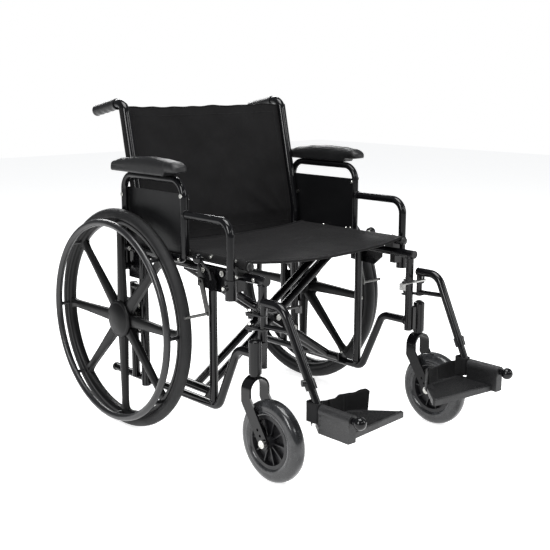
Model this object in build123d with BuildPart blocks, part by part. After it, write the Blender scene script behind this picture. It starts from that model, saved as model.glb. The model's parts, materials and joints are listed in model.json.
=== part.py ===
from build123d import *
import os
from math import atan2, cos, degrees, radians, sin, sqrt, tan

# Folding manual wheelchair, heavy-duty pattern, in millimetres.
# The occupant faces -Y, +Z is up and the occupant's right hand is on the -X side.
# Places along the chair are given as a distance ahead of the rear axle.

# rear wheels
wheel_diameter = 610.0
tyre_width = 32.0
tyre_track = 345.0  # centre plane of each rear tyre from the middle of the chair
rim_depth = 14.0
rim_width = 28.0
spoke_count = 8
spoke_root_width = 34.0
spoke_tip_width = 22.0
spoke_thickness = 22.0
hub_radius = 30.0
hub_length = 40.0
hub_cap_radius = 52.0
hub_cap_height = 17.0
axle_radius = 8.0
handrim_inset = 35.0  # how far the handrim's centre circle lies inside the tyre's tread
handrim_tube = 19.0
handrim_offset = 45.0  # handrim centre plane outboard of the tyre's
standoff_radius = 5.0

# casters
caster_diameter = 203.2
caster_width = 40.0
caster_tyre_depth = 35.0
caster_track = 305.0
caster_stem_ahead = 514.0
caster_trail = 64.0
caster_axle_radius = 6.0
stem_radius = 8.0
housing_radius = 16.0
housing_bottom = 256.0
housing_height = 78.0
fork_bar_width = 32.0
fork_bar_thickness = 5.0
fork_side_gap = 7.0  # between the tyre and each fork leg

# side frames
frame_half_width = 272.0
frame_tube = 22.2
frame_wall = 1.6
weld_lap = 3.0  # a welded tube stops this short of the other tube's centre line
plug_depth = 3.0
upper_rail_height = 478.0
upper_rail_ahead = 516.0
front_post_ahead = 504.0
front_post_bottom = 265.0
lower_tube_height = 288.0
lower_tube_bend_ahead = 408.0
bottom_rail_height = 116.0
bottom_bend_ahead = 328.0
middle_post_ahead = 310.0
tip_lever_behind = 150.0

# back canes and grips
cane_half_width = 287.0
cane_tube = 25.4
cane_ahead = 20.0
cane_knee_height = 560.0
cane_lean = 12.0
cane_top_height = 893.0
handle_reach = 137.2  # from the cane's upper corner back to the handle's end
handle_drop = 27.0
grip_length = 104.0
grip_radius = 16.0
axle_post_behind = 30.0
axle_post_top = 395.0

# folding brace
pivot_half_width = 244.0
pivot_height = 135.0
brace_slope = 0.6686
brace_end_half_width = 248.0
brace_front_ahead = 240.0
brace_pitch = 24.0  # the four arms lie side by side along the chair
brace_bolt_radius = 5.0
pivot_shaft_radius = 8.0
pivot_sleeve_radius = 12.5
seat_rail_half_width = 283.0
seat_rail_height = 509.0
seat_rail_front = 470.0
seat_rail_rear = 50.0

# armrests
arm_half_width = 315.0
arm_tube = 19.0
arm_loop_tube = 21.0
arm_top_height = 702.0
arm_front_ahead = 250.0
arm_rear_behind = 18.0
arm_floor_height = 500.0
arm_pivot_height = 450.0
hoop_bends = (42.0, 42.0, 16.0)
loop_bend = 38.0
loop_ahead = 436.0
loop_height = 617.0
socket_mouth = 475.0
socket_depth = 50.0
pad_half_width_place = 326.0
pad_width = 46.0
pad_height = 45.0
pad_front_ahead = 262.0
pad_rear_behind = 34.0
panel_thickness = 2.8
panel_bottom = 508.0
panel_top = 666.0

# footrests
hanger_half_width = 286.0
hanger_collar_half_width = 279.0
hanger_height = 430.0
hanger_start_ahead = 522.0
hanger_bend_ahead = 593.0
collar_ahead = 677.0
collar_height = 264.0
hinge_ahead = 480.0
hinge_half_width = 292.0
hinge_upper_height = 396.0
hinge_lower_height = 362.0
hinge_pin_radius = 5.0
latch_half_width = 281.0
latch_forward = 25.0
latch_length = 92.0
latch_pin_radius = 3.0
footrest_bar_height = 208.0
footrest_bar_front = 833.0
footrest_bar_radius = 8.0
footrest_knob_radius = 15.0
plate_top = 169.0
plate_thickness = 14.0
plate_front_ahead = 792.0
plate_rear_ahead = 680.0
plate_inner_half_width = 60.0
heel_loop_width = 50.0
heel_loop_lift = 3.0  # between the plate's top and the webbing's lower edge

# wheel locks
lock_pivot_ahead = 345.0
lock_pivot_height = 446.0
shoe_pivot_ahead = 283.0
shoe_rod_radius = 4.0
shoe_rest_gap = 8.0
shoe_rod_height = 365.0
lock_knob_radius = 14.0

# clearances
running = 0.05  # radial, in every bore that turns on a pin
seat_gap = 0.05  # between pieces of one body that sit against each other
free_gap = 0.3  # between curved faces that pass each other

# worked out from the sizes above
wheel_radius = wheel_diameter / 2
handrim_radius = wheel_radius - handrim_inset
caster_radius = caster_diameter / 2
footrest_front = footrest_bar_front + footrest_knob_radius + 2.0
axle_y = (footrest_front - wheel_radius) / 2  # centres the chair on the origin
tube_r = frame_tube / 2
cane_r = cane_tube / 2
arm_r = arm_tube / 2
loop_r = arm_loop_tube / 2
brace_centre_height = pivot_height + pivot_half_width * brace_slope
side = -1  # each side piece is drawn on the right and mirrored for the left


def place(x, ahead, z):
    """A point of the chair, from its distance ahead of the rear axle."""
    return (x, axle_y - ahead, z)


def round_bar(start, end, radius, bore=0.0):
    """A straight round bar between two points, or a sleeve where it has a bore."""
    foot, tip = Vector(*start), Vector(*end)
    with BuildPart() as piece:
        with BuildSketch(Plane(origin=foot, z_dir=tip - foot)):
            Circle(radius)
            if bore:
                Circle(bore, mode=Mode.SUBTRACT)
        extrude(amount=(tip - foot).length)
    return piece.part


def bent_bar(points, bends, radius):
    """A round bar along straight runs joined by bends of the radii given."""
    with BuildPart() as piece:
        with BuildLine() as route:
            FilletPolyline(*points, radius=bends)
        with BuildSketch(Plane(origin=route.line @ 0, z_dir=route.line % 0)):
            Circle(radius)
        sweep(path=route.line)
    return piece.part


def block(x_span, ahead_span, z_span):
    """A rectangular block between limits on each axis."""
    x_low, x_high = sorted(x_span)
    back, front = sorted(ahead_span)
    z_low, z_high = sorted(z_span)
    middle = place((x_low + x_high) / 2, (front + back) / 2, z_low)
    with BuildPart() as piece:
        with BuildSketch(Plane(origin=middle)):
            Rectangle(x_high - x_low, front - back)
        extrude(amount=z_high - z_low)
    return piece.part


def side_plate(x_span, outline, holes=()):
    """A plate across the chair's width, from an outline of (ahead, height) points and round holes."""
    x_low, x_high = sorted(x_span)
    with BuildPart() as piece:
        with BuildSketch(Plane(origin=(x_low, axle_y, 0), x_dir=(0, -1, 0), z_dir=(1, 0, 0))):
            with BuildLine():
                Polyline(*[(ahead, -z) for ahead, z in outline], close=True)
            make_face()
            for ahead, z, radius in holes:
                with Locations((ahead, -z)):
                    Circle(radius, mode=Mode.SUBTRACT)
        extrude(amount=x_high - x_low)
    return piece.part


def cross_plate(ahead_span, outline, holes=()):
    """A plate along the chair's length, from an outline of (x, height) points and round holes."""
    back, front = sorted(ahead_span)
    with BuildPart() as piece:
        with BuildSketch(Plane(origin=place(0, back, 0), x_dir=(1, 0, 0), z_dir=(0, -1, 0))):
            with BuildLine():
                Polyline(*outline, close=True)
            make_face()
            for x, z, radius in holes:
                with Locations((x, z)):
                    Circle(radius, mode=Mode.SUBTRACT)
        extrude(amount=front - back)
    return piece.part


def turned(x, ahead, z, profile):
    """A solid turned about an axis across the chair, from a profile of (x offset, radius) points."""
    with BuildPart() as piece:
        with BuildSketch(Plane(origin=place(x, ahead, z), x_dir=(1, 0, 0), z_dir=(0, -1, 0))):
            with BuildLine():
                Polyline(*profile, close=True)
            make_face()
        revolve(axis=Axis(place(x, ahead, z), (1, 0, 0)))
    return piece.part


def ball(centre, radius):
    """A ball at a point."""
    with BuildPart(Location(centre)) as piece:
        Sphere(radius)
    return piece.part


def fused(label, *pieces, cuts=()):
    """One node from overlapping pieces, less any cuts."""
    with BuildPart() as node:
        for piece in pieces:
            add(piece)
        for cut in cuts:
            add(cut, mode=Mode.SUBTRACT)
    node.part.label = label
    return node.part


def write(part):
    """Writes a finished node under its own name."""
    export_step(part, f"parts/{part.label}.step")


# back cane route, shared by the cane, its core and its grip
lean = tan(radians(cane_lean))
cane_top_ahead = cane_ahead - (cane_top_height - cane_knee_height) * lean
handle_behind = handle_reach - cane_top_ahead
cane_bottom = bottom_rail_height - 12.0
handle_end_height = cane_top_height - handle_drop
lower_bends = (34.0, 30.0)
cane_points = (
    (cane_ahead, cane_bottom),
    (cane_ahead, cane_knee_height),
    (cane_top_ahead, cane_top_height),
    (-handle_behind, handle_end_height),
)
cane_bends = (110.0, 32.0)

# wheel lock shoe place, clear of the tyre by the rest gap
shoe_reach = wheel_radius + shoe_rod_radius + shoe_rest_gap
shoe_rise = shoe_rod_height - wheel_radius
shoe_ahead = sqrt(shoe_reach**2 - shoe_rise**2)

# hanger's straight lower run, shared by the hanger and the footrest tube that slides in it
hanger_corner = (hanger_half_width, hanger_bend_ahead, hanger_height)
run_fall = hanger_height - collar_height
run_ahead = collar_ahead - hanger_bend_ahead
run_inward = hanger_half_width - hanger_collar_half_width


def on_run(height):
    """Half width and distance ahead of the hanger's lower run at a height."""
    share = (hanger_height - height) / run_fall
    return hanger_half_width - run_inward * share, hanger_bend_ahead + run_ahead * share


def side_frame():
    x = side * frame_half_width
    cane_x = side * cane_half_width
    lower = (
        place(x, front_post_ahead, lower_tube_height),
        place(x, lower_tube_bend_ahead, lower_tube_height),
        place(x, bottom_bend_ahead, bottom_rail_height),
        place(x, -tip_lever_behind, bottom_rail_height),
    )
    bars = [
        bent_bar([place(cane_x, ahead, z) for ahead, z in cane_points], cane_bends, cane_r),
        bent_bar(lower, lower_bends, tube_r),
        round_bar(place(x, upper_rail_ahead, upper_rail_height), place(x, cane_ahead, upper_rail_height), tube_r),
        round_bar(place(x, front_post_ahead, front_post_bottom),
                  place(x, front_post_ahead, upper_rail_height - weld_lap), tube_r),
        round_bar(place(x, middle_post_ahead, bottom_rail_height + weld_lap),
                  place(x, middle_post_ahead, upper_rail_height - weld_lap), tube_r),
        round_bar(place(cane_x, -axle_post_behind, bottom_rail_height + weld_lap),
                  place(cane_x, -axle_post_behind, axle_post_top), tube_r),
        round_bar(place(cane_x, -axle_post_behind, axle_post_top - tube_r),
                  place(cane_x, cane_ahead, axle_post_top - tube_r), tube_r),
    ]

    # brackets that hold the brace's pivot shaft beside the bottom rail
    pivot_x = side * pivot_half_width
    sleeve_front = brace_front_ahead + brace_pitch
    sleeve_rear = brace_front_ahead - 4 * brace_pitch
    bracket = 6.0
    fittings = []
    for low in (sleeve_front + 1.0, sleeve_rear - 1.0 - bracket):
        outline = (
            (side * (pivot_half_width - 10), pivot_height + 11),
            (side * (pivot_half_width - 10), pivot_height - 11),
            (side * frame_half_width, bottom_rail_height - 8),
            (side * frame_half_width, bottom_rail_height + 8),
            (side * (pivot_half_width + 10), pivot_height + 11),
        )
        fittings.append(cross_plate((low, low + bracket), outline))
    fittings.append(round_bar(place(pivot_x, sleeve_rear - 4, pivot_height),
                              place(pivot_x, sleeve_front + 4, pivot_height), pivot_shaft_radius))

    # front armrest socket on a web from the upper rail
    arm_x = side * arm_half_width
    socket_bore = loop_r + 1.2
    socket_outer = socket_bore + 3.0
    socket_bottom = socket_mouth - socket_depth
    fittings.append(round_bar(place(arm_x, loop_ahead, socket_bottom),
                              place(arm_x, loop_ahead, socket_mouth), socket_outer))
    fittings.append(block((x + side * 4, side * (arm_half_width - socket_outer + 2)),
                          (loop_ahead - 9, loop_ahead + 9), (upper_rail_height - 34, upper_rail_height - 4)))
    boss_end = arm_half_width + socket_outer + 6.0
    button_height = socket_mouth - 18.0
    fittings.append(round_bar(place(side * (arm_half_width + socket_bore + 1), loop_ahead, button_height),
                              place(side * boss_end, loop_ahead, button_height), 7.5))
    socket_cut = round_bar(place(arm_x, loop_ahead, socket_bottom - 1),
                           place(arm_x, loop_ahead, socket_mouth + 1), socket_bore)
    button_cut = round_bar(place(side * (arm_half_width + socket_outer - 1), loop_ahead, button_height),
                           place(side * (boss_end + 1), loop_ahead, button_height), 4.5)

    # rear armrest pivot: a plate on the cane with a shouldered bolt
    plate_outer = cane_half_width + cane_r - 0.2
    fittings.append(side_plate((side * (plate_outer - 4), side * plate_outer),
                               ((cane_ahead + 8, 412), (cane_ahead + 8, 486), (-arm_rear_behind - 14, 486),
                                (-arm_rear_behind - 14, 412))))
    bolt_end = arm_half_width + arm_r + free_gap
    fittings.append(round_bar(place(side * (plate_outer - 2), -arm_rear_behind, arm_pivot_height),
                              place(side * (bolt_end + 2.4), -arm_rear_behind, arm_pivot_height), 5.0))

    # shallow sockets for the plastic plugs at the open tube ends
    socket_r = tube_r - frame_wall
    plug_cuts = (
        round_bar(place(x, upper_rail_ahead - plug_depth, upper_rail_height),
                  place(x, upper_rail_ahead + 1, upper_rail_height), socket_r),
        round_bar(place(x, -tip_lever_behind - 1, bottom_rail_height),
                  place(x, plug_depth - tip_lever_behind, bottom_rail_height), socket_r),
        round_bar(place(x, front_post_ahead, front_post_bottom - 1),
                  place(x, front_post_ahead, front_post_bottom + plug_depth), socket_r),
    )

    # tabs and pins that carry the swing-away footrest
    for height in (hinge_upper_height, hinge_lower_height):
        tab_top = height - 1.0
        fittings.append(block((x + side * 4, side * (hinge_half_width + 8)),
                              (hinge_ahead - 8, hinge_ahead + 16), (tab_top - 4, tab_top)))
        fittings.append(round_bar(place(side * hinge_half_width, hinge_ahead, height - 12),
                                  place(side * hinge_half_width, hinge_ahead, height + 8), hinge_pin_radius))
    return fused("side_frame", *bars, *fittings, cuts=(socket_cut, button_cut, *plug_cuts))


def tube_plugs():
    x = side * frame_half_width
    stem = tube_r - frame_wall - seat_gap
    head = tube_r
    front = fused("plug", round_bar(place(x, upper_rail_ahead - 2.5, upper_rail_height),
                                    place(x, upper_rail_ahead + seat_gap, upper_rail_height), stem),
                  round_bar(place(x, upper_rail_ahead + seat_gap, upper_rail_height),
                            place(x, upper_rail_ahead + 5, upper_rail_height), head))
    rear = fused("plug", round_bar(place(x, 2.5 - tip_lever_behind, bottom_rail_height),
                                   place(x, -tip_lever_behind - seat_gap, bottom_rail_height), stem),
                 round_bar(place(x, -tip_lever_behind - seat_gap, bottom_rail_height),
                           place(x, -tip_lever_behind - 9, bottom_rail_height), head + 1.5))
    foot = fused("plug", round_bar(place(x, front_post_ahead, front_post_bottom - 4),
                                   place(x, front_post_ahead, front_post_bottom - seat_gap), head),
                 round_bar(place(x, front_post_ahead, front_post_bottom - seat_gap),
                           place(x, front_post_ahead, front_post_bottom + 2.5), stem))
    return fused("tube_plugs", front, rear, foot)


def hand_grip():
    """A sleeve over the last stretch of the cane's handle."""
    end = Vector(*place(side * cane_half_width, -handle_behind, handle_end_height))
    corner = Vector(*place(side * cane_half_width, cane_top_ahead, cane_top_height))
    back = (end - corner).normalized()
    start = end - back * grip_length
    tip = end + back * 5
    sleeve = round_bar(tuple(start), tuple(tip), grip_radius)
    bore = round_bar(tuple(start - back), tuple(end + back * seat_gap), cane_r + seat_gap)
    return fused("hand_grip", sleeve, cuts=(bore,))


def axle_bracket():
    inner = cane_half_width + cane_r + seat_gap
    plate = side_plate((side * inner, side * (inner + 5)),
                       ((cane_ahead + 12, 258), (cane_ahead + 12, 352), (-axle_post_behind - 11, 352),
                        (-axle_post_behind - 11, 258)), ((0, wheel_radius, axle_radius + seat_gap),))
    return fused("axle_bracket", plate)


def rear_axle():
    """Shouldered axle bolt with its spacer, from the bracket to the hub's outer end."""
    inner = cane_half_width + cane_r
    spacer_start = inner + 5 + 2 * seat_gap
    hub_start = tyre_track - hub_length / 2 - 9
    shaft = round_bar(place(side * (inner + 1), 0, wheel_radius),
                      place(side * (tyre_track + 6), 0, wheel_radius), axle_radius)
    spacer = round_bar(place(side * spacer_start, 0, wheel_radius),
                       place(side * (hub_start - free_gap), 0, wheel_radius), 12.0)
    nut = round_bar(place(side * (tyre_track + 1 + free_gap), 0, wheel_radius),
                    place(side * (tyre_track + 8), 0, wheel_radius), 12.0)
    return fused("rear_axle", shaft, spacer, nut)


def rear_tyre():
    section = tyre_width / 2
    seat_radius = wheel_radius - tyre_width + 3.0
    with BuildPart() as tyre:
        with BuildSketch(Plane(origin=place(side * tyre_track, 0, wheel_radius),
                               x_dir=(1, 0, 0), z_dir=(0, -1, 0))):
            with Locations((0, wheel_radius - section)):
                Circle(section)
            with Locations((0, seat_radius - section)):
                Rectangle(2 * tyre_width, 2 * section, mode=Mode.SUBTRACT)
        revolve(axis=Axis(place(side * tyre_track, 0, wheel_radius), (1, 0, 0)))
    tyre.part.label = "rear_tyre"
    return tyre.part


def rear_wheel():
    x = side * tyre_track
    rim_outer = wheel_radius - tyre_width + 3.0 - seat_gap
    half = rim_width / 2
    rim = turned(x, 0, wheel_radius, ((-half, rim_outer), (half, rim_outer), (half, rim_outer - rim_depth),
                                      (-half, rim_outer - rim_depth)))
    hub_in = side * (hub_length / 2 + 9)
    hub_out = side * (spoke_thickness / 2)
    hub = turned(x, 0, wheel_radius, ((-hub_in, 0), (-hub_in, hub_radius), (hub_out, hub_radius), (hub_out, 0)))
    with BuildPart() as spokes:
        with BuildSketch(Plane(origin=place(x - spoke_thickness / 2, 0, wheel_radius),
                               x_dir=(0, -1, 0), z_dir=(1, 0, 0))):
            with PolarLocations(0, spoke_count):
                Polygon((hub_radius - 6, -spoke_root_width / 2), (rim_outer - rim_depth / 2, -spoke_tip_width / 2),
                        (rim_outer - rim_depth / 2, spoke_tip_width / 2), (hub_radius - 6, spoke_root_width / 2),
                        align=None)
        extrude(amount=spoke_thickness)
    bore = round_bar(place(side * (tyre_track - 60), 0, wheel_radius),
                     place(side * (tyre_track + 30), 0, wheel_radius), axle_radius + running)
    pocket = round_bar(place(side * (tyre_track + 1), 0, wheel_radius),
                       place(side * (tyre_track + 30), 0, wheel_radius), 12.0 + 2.0)
    return fused("rear_wheel", rim, hub, spokes.part, cuts=(bore, pocket))


def hub_cap():
    base = tyre_track + spoke_thickness / 2 + seat_gap
    profile = [(side * 0.0, 0.0)]
    profile += [(side * 0.0, hub_cap_radius), (side * 4.0, hub_cap_radius)]
    steps = 6
    for i in range(1, steps + 1):
        turn = radians(90 * i / steps)
        profile.append((side * (4 + (hub_cap_height - 4) * sin(turn)), hub_cap_radius * cos(turn)))
    profile[-1] = (side * hub_cap_height, 0.0)
    return fused("hub_cap", turned(side * base, 0, wheel_radius, profile))


def handrim():
    x = side * (tyre_track + handrim_offset)
    seam_turn = radians(180 / spoke_count)  # starts the ring between two stand-offs
    with BuildPart() as ring:
        with BuildSketch(Plane(origin=place(x, 0, wheel_radius), x_dir=(1, 0, 0),
                               z_dir=(0, -cos(seam_turn), -sin(seam_turn)))):
            with Locations((0, handrim_radius)):
                Circle(handrim_tube / 2)
        revolve(axis=Axis(place(x, 0, wheel_radius), (1, 0, 0)))
    posts = []
    start = side * (tyre_track + rim_width / 2 + seat_gap)
    for i in range(spoke_count):
        turn = radians(360 * i / spoke_count)
        ahead, rise = handrim_radius * cos(turn), handrim_radius * sin(turn)
        posts.append(round_bar(place(start, ahead, wheel_radius + rise),
                               place(x - side * weld_lap, ahead, wheel_radius + rise), standoff_radius))
    return fused("handrim", ring.part, *posts)


def caster_housing():
    x = side * caster_track
    top = housing_bottom + housing_height
    barrel = round_bar(place(x, caster_stem_ahead, housing_bottom),
                       place(x, caster_stem_ahead, top), housing_radius)
    with BuildPart() as dome:
        with BuildSketch(Plane(origin=place(x, caster_stem_ahead, top), x_dir=(1, 0, 0), z_dir=(0, -1, 0))):
            with Locations((housing_radius / 2, 0)):
                Ellipse(housing_radius / 2, 6)
            with BuildLine():
                Polyline((0, 0), (housing_radius, 0), (housing_radius * 0.8, 5), (0, 8), close=True)
            make_face()
            with Locations((housing_radius / 2, -10)):
                Rectangle(housing_radius * 2, 20, mode=Mode.SUBTRACT)
        revolve(axis=Axis(place(x, caster_stem_ahead, top), (0, 0, 1)))
    gusset = block((side * (frame_half_width + 2), side * (caster_track - 6)),
                   (front_post_ahead + 0.5, caster_stem_ahead + 5), (housing_bottom + 8, top - 6))
    post = round_bar(place(side * frame_half_width, front_post_ahead, housing_bottom - 20),
                     place(side * frame_half_width, front_post_ahead, top + 20), tube_r + seat_gap)
    bore = round_bar(place(x, caster_stem_ahead, housing_bottom - 1),
                     place(x, caster_stem_ahead, top - 8), stem_radius + running)
    return fused("caster_housing", barrel, dome.part, gusset, cuts=(post, bore))


def caster_fork():
    x = side * caster_track
    axle_ahead = caster_stem_ahead + caster_trail
    leg_in = caster_width / 2 + fork_side_gap
    leg_out = leg_in + fork_bar_thickness
    crown_centre = housing_bottom - 6 - leg_out
    half_bar = fork_bar_width / 2
    with BuildPart() as crown:
        with BuildSketch(Plane(origin=place(x, caster_stem_ahead - half_bar, crown_centre),
                               x_dir=(1, 0, 0), z_dir=(0, -1, 0))):
            Circle(leg_out)
            Circle(leg_in, mode=Mode.SUBTRACT)
            with Locations((0, -leg_out)):
                Rectangle(3 * leg_out, 2 * leg_out, mode=Mode.SUBTRACT)
        extrude(amount=fork_bar_width)
    # each leg drops, then slants to the axle
    slope = atan2(crown_centre - 22 - caster_radius, caster_trail)
    across = (half_bar * sin(slope), half_bar * cos(slope))
    knee = crown_centre - 22
    outline = (
        (caster_stem_ahead - half_bar, crown_centre),
        (caster_stem_ahead - half_bar, knee - 8),
        (axle_ahead - across[0], caster_radius - across[1]),
        (axle_ahead + across[0], caster_radius + across[1]),
        (caster_stem_ahead + half_bar, knee + 6),
        (caster_stem_ahead + half_bar, crown_centre),
    )
    run = sqrt(caster_trail**2 + (knee - caster_radius) ** 2)
    unit = (-caster_trail / run, (knee - caster_radius) / run)
    holes = [(axle_ahead, caster_radius, caster_axle_radius + seat_gap)]
    holes += [(axle_ahead + unit[0] * d, caster_radius + unit[1] * d, 3.6) for d in (20, 36)]
    legs = []
    for direction in (-1, 1):
        inner, outer = x + direction * leg_in, x + direction * leg_out
        end = round_bar(place(inner, axle_ahead, caster_radius), place(outer, axle_ahead, caster_radius), half_bar)
        legs.append(fused("leg", side_plate((inner, outer), outline), end))
    bores = [round_bar(place(x - 2 * leg_out, a, z), place(x + 2 * leg_out, a, z), r) for a, z, r in holes]
    stem = round_bar(place(x, caster_stem_ahead, housing_bottom - 6 - fork_bar_thickness),
                     place(x, caster_stem_ahead, housing_bottom + housing_height - 14), stem_radius)
    washer = round_bar(place(x, caster_stem_ahead, housing_bottom - 6),
                       place(x, caster_stem_ahead, housing_bottom - 0.5), 13.0)
    return fused("caster_fork", crown.part, *legs, stem, washer, cuts=bores)


def caster_tyre():
    inner = caster_radius - caster_tyre_depth
    centre = place(side * caster_track, caster_stem_ahead + caster_trail, caster_radius)
    with BuildPart() as tyre:
        with BuildSketch(Plane(origin=centre, x_dir=(1, 0, 0), z_dir=(0, -1, 0))):
            with Locations((0, inner + caster_tyre_depth / 2)):
                RectangleRounded(caster_width, caster_tyre_depth, caster_tyre_depth * 0.46)
        revolve(axis=Axis(centre, (1, 0, 0)))
    tyre.part.label = "caster_tyre"
    return tyre.part


def caster_hub():
    x, ahead = side * caster_track, caster_stem_ahead + caster_trail
    outer = caster_radius - caster_tyre_depth - seat_gap
    half = caster_width / 2
    profile = (
        (-half - 5, caster_axle_radius + running), (-half - 5, 14), (-4, 17), (-4, outer - 12),
        (-half + 4, outer - 9), (-half + 4, outer), (half - 4, outer), (half - 4, outer - 9),
        (4, outer - 12), (4, 17), (half + 5, 14), (half + 5, caster_axle_radius + running),
    )
    wheel = turned(x, ahead, caster_radius, profile)
    rib_count, rib = 10, 3.0
    with BuildPart() as ribs:
        with BuildSketch(Plane(origin=place(x - half + 7, ahead, caster_radius), x_dir=(0, -1, 0), z_dir=(1, 0, 0))):
            with PolarLocations(outer / 2 + 2, rib_count):
                Rectangle(outer - 22, rib)
        extrude(amount=2 * half - 14)
    return fused("caster_hub", wheel, ribs.part)


def caster_axle():
    x, ahead = side * caster_track, caster_stem_ahead + caster_trail
    reach = caster_width / 2 + fork_side_gap + fork_bar_thickness
    shaft = round_bar(place(x - reach - 3, ahead, caster_radius), place(x + reach + 3, ahead, caster_radius),
                      caster_axle_radius)
    heads = [round_bar(place(x + d * (reach + seat_gap), ahead, caster_radius),
                       place(x + d * (reach + 5), ahead, caster_radius), 9.5) for d in (-1, 1)]
    return fused("caster_axle", shaft, *heads)


def armrest_frame():
    """Side hoop with its floor bar in one bent tube, and the front loop that drops into the socket."""
    x = side * arm_half_width
    hoop_points = (
        place(x, -arm_rear_behind, arm_pivot_height - 12),
        place(x, -arm_rear_behind, arm_top_height),
        place(x, arm_front_ahead, arm_top_height),
        place(x, arm_front_ahead, arm_floor_height),
        place(x, weld_lap - arm_rear_behind, arm_floor_height),
    )
    loop_points = (
        place(x, arm_front_ahead + weld_lap, loop_height),
        place(x, loop_ahead, loop_height),
        place(x, loop_ahead, socket_mouth - socket_depth + 3),
    )
    eye = round_bar(
        place(side * (arm_half_width - arm_r + 0.5), -arm_rear_behind, arm_pivot_height),
        place(side * (arm_half_width + arm_r - 0.5), -arm_rear_behind, arm_pivot_height),
        10.5,
    )
    bore = round_bar(
        place(side * (arm_half_width - 30), -arm_rear_behind, arm_pivot_height),
        place(side * (arm_half_width + 30), -arm_rear_behind, arm_pivot_height),
        5.0 + running,
    )
    hoop = bent_bar(hoop_points, hoop_bends, arm_r)
    loop = bent_bar(loop_points, loop_bend, loop_r)
    return fused("armrest_frame", hoop, loop, eye, cuts=(bore,))


def arm_pad():
    base = arm_top_height + arm_r + free_gap
    length = pad_front_ahead + pad_rear_behind
    middle = place(side * pad_half_width_place, (pad_front_ahead - pad_rear_behind) / 2, base)
    with BuildPart() as pad:
        with BuildSketch(Plane(origin=middle)):
            RectangleRounded(pad_width, length, 16)
        extrude(amount=pad_height)
        fillet(pad.edges().group_by(Axis.Z)[-1], 14)
    pad.part.label = "arm_pad"
    return pad.part


def skirt_panel():
    outer = arm_half_width - loop_r - 0.2
    panel = side_plate((side * (outer - panel_thickness), side * outer),
                       ((arm_front_ahead + 4, panel_bottom), (arm_front_ahead + 4, panel_top),
                        (-arm_rear_behind - 4, panel_top), (-arm_rear_behind - 4, panel_bottom + 10),
                        (-arm_rear_behind + 12, panel_bottom)))
    return fused("skirt_panel", panel)


def arm_button():
    height = socket_mouth - 18.0
    socket_outer = loop_r + 1.2 + 3.0
    start = arm_half_width + socket_outer + 3.0
    pin = round_bar(place(side * start, loop_ahead, height), place(side * (start + 8), loop_ahead, height),
                    4.5 - 2 * running)
    return fused("arm_button", pin)


def seat_guides():
    x = side * seat_rail_half_width
    guides = []
    for ahead in (seat_rail_front - 42, seat_rail_rear + 50):
        body = block((side * frame_half_width - side * 3, x + side * 15), (ahead - 15, ahead + 15),
                     (upper_rail_height + 6, seat_rail_height - 3))
        rail = round_bar(place(x, ahead - 20, seat_rail_height), place(x, ahead + 20, seat_rail_height),
                         tube_r + free_gap)
        upper = round_bar(place(side * frame_half_width, ahead - 20, upper_rail_height),
                          place(side * frame_half_width, ahead + 20, upper_rail_height), tube_r + seat_gap)
        guides.append(fused("guide", body, cuts=(rail, upper)))
    return fused("seat_guides", *guides)


def lock_bracket():
    inner = frame_half_width + tube_r + seat_gap
    plate = side_plate((side * inner, side * (inner + 4.5)),
                       ((shoe_pivot_ahead - 16, lock_pivot_height - 14), (shoe_pivot_ahead - 16, upper_rail_height + 9),
                        (lock_pivot_ahead + 44, upper_rail_height + 9), (lock_pivot_ahead + 44, lock_pivot_height + 6),
                        (lock_pivot_ahead + 16, lock_pivot_height - 18)))
    bolts = [round_bar(place(side * (inner + 4), ahead, upper_rail_height),
                       place(side * (inner + 8), ahead, upper_rail_height), 6.0)
             for ahead in (shoe_pivot_ahead + 12, lock_pivot_ahead + 26)]
    pins = [round_bar(place(side * (inner + 3), ahead, lock_pivot_height),
                      place(side * (inner + reach), ahead, lock_pivot_height), 4.0)
            for ahead, reach in ((shoe_pivot_ahead, 11.5), (lock_pivot_ahead, 17.0))]
    return fused("lock_bracket", plate, *bolts, *pins)


def lock_handle():
    """Hand lever with a cam at its pivot and a ball knob."""
    base = frame_half_width + tube_r + seat_gap + 4.5
    inner = base + 6.5
    cam = side_plate((side * inner, side * (inner + 4)),
                     ((lock_pivot_ahead - 16, lock_pivot_height - 20), (lock_pivot_ahead - 20, lock_pivot_height + 10),
                      (lock_pivot_ahead - 4, lock_pivot_height + 34), (lock_pivot_ahead + 12, lock_pivot_height + 12),
                      (lock_pivot_ahead + 10, lock_pivot_height - 10)),
                     ((lock_pivot_ahead, lock_pivot_height, 4.0 + running),))
    knob = place(side * 319, lock_pivot_ahead - 33, lock_pivot_height + 67)
    elbow = place(side * (inner + 6), lock_pivot_ahead - 12, lock_pivot_height + 36)
    foot = place(side * (inner + 2), lock_pivot_ahead - 10, lock_pivot_height + 12)
    lever = bent_bar((foot, elbow, knob), 14.0, 4.0)
    return fused("lock_handle", cam, lever, ball(knob, lock_knob_radius))


def lock_shoe():
    """Lever that hangs from the lock bracket and carries the shoe rod across the tyre."""
    base = frame_half_width + tube_r + seat_gap + 4.5
    inner = base + 1.0
    outline = ((shoe_pivot_ahead - 9, lock_pivot_height + 9), (shoe_pivot_ahead + 11, lock_pivot_height + 7),
               (shoe_ahead + 7, shoe_rod_height + 4), (shoe_ahead + 5, shoe_rod_height - 6),
               (shoe_ahead - 6, shoe_rod_height - 4))
    lever = side_plate((side * inner, side * (inner + 4)), outline,
                       ((shoe_pivot_ahead, lock_pivot_height, 4.0 + running),))
    rod = round_bar(place(side * (inner + 1), shoe_ahead, shoe_rod_height),
                    place(side * (tyre_track + tyre_width / 2 + 3), shoe_ahead, shoe_rod_height), shoe_rod_radius)
    return fused("lock_shoe", lever, rod)


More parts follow.
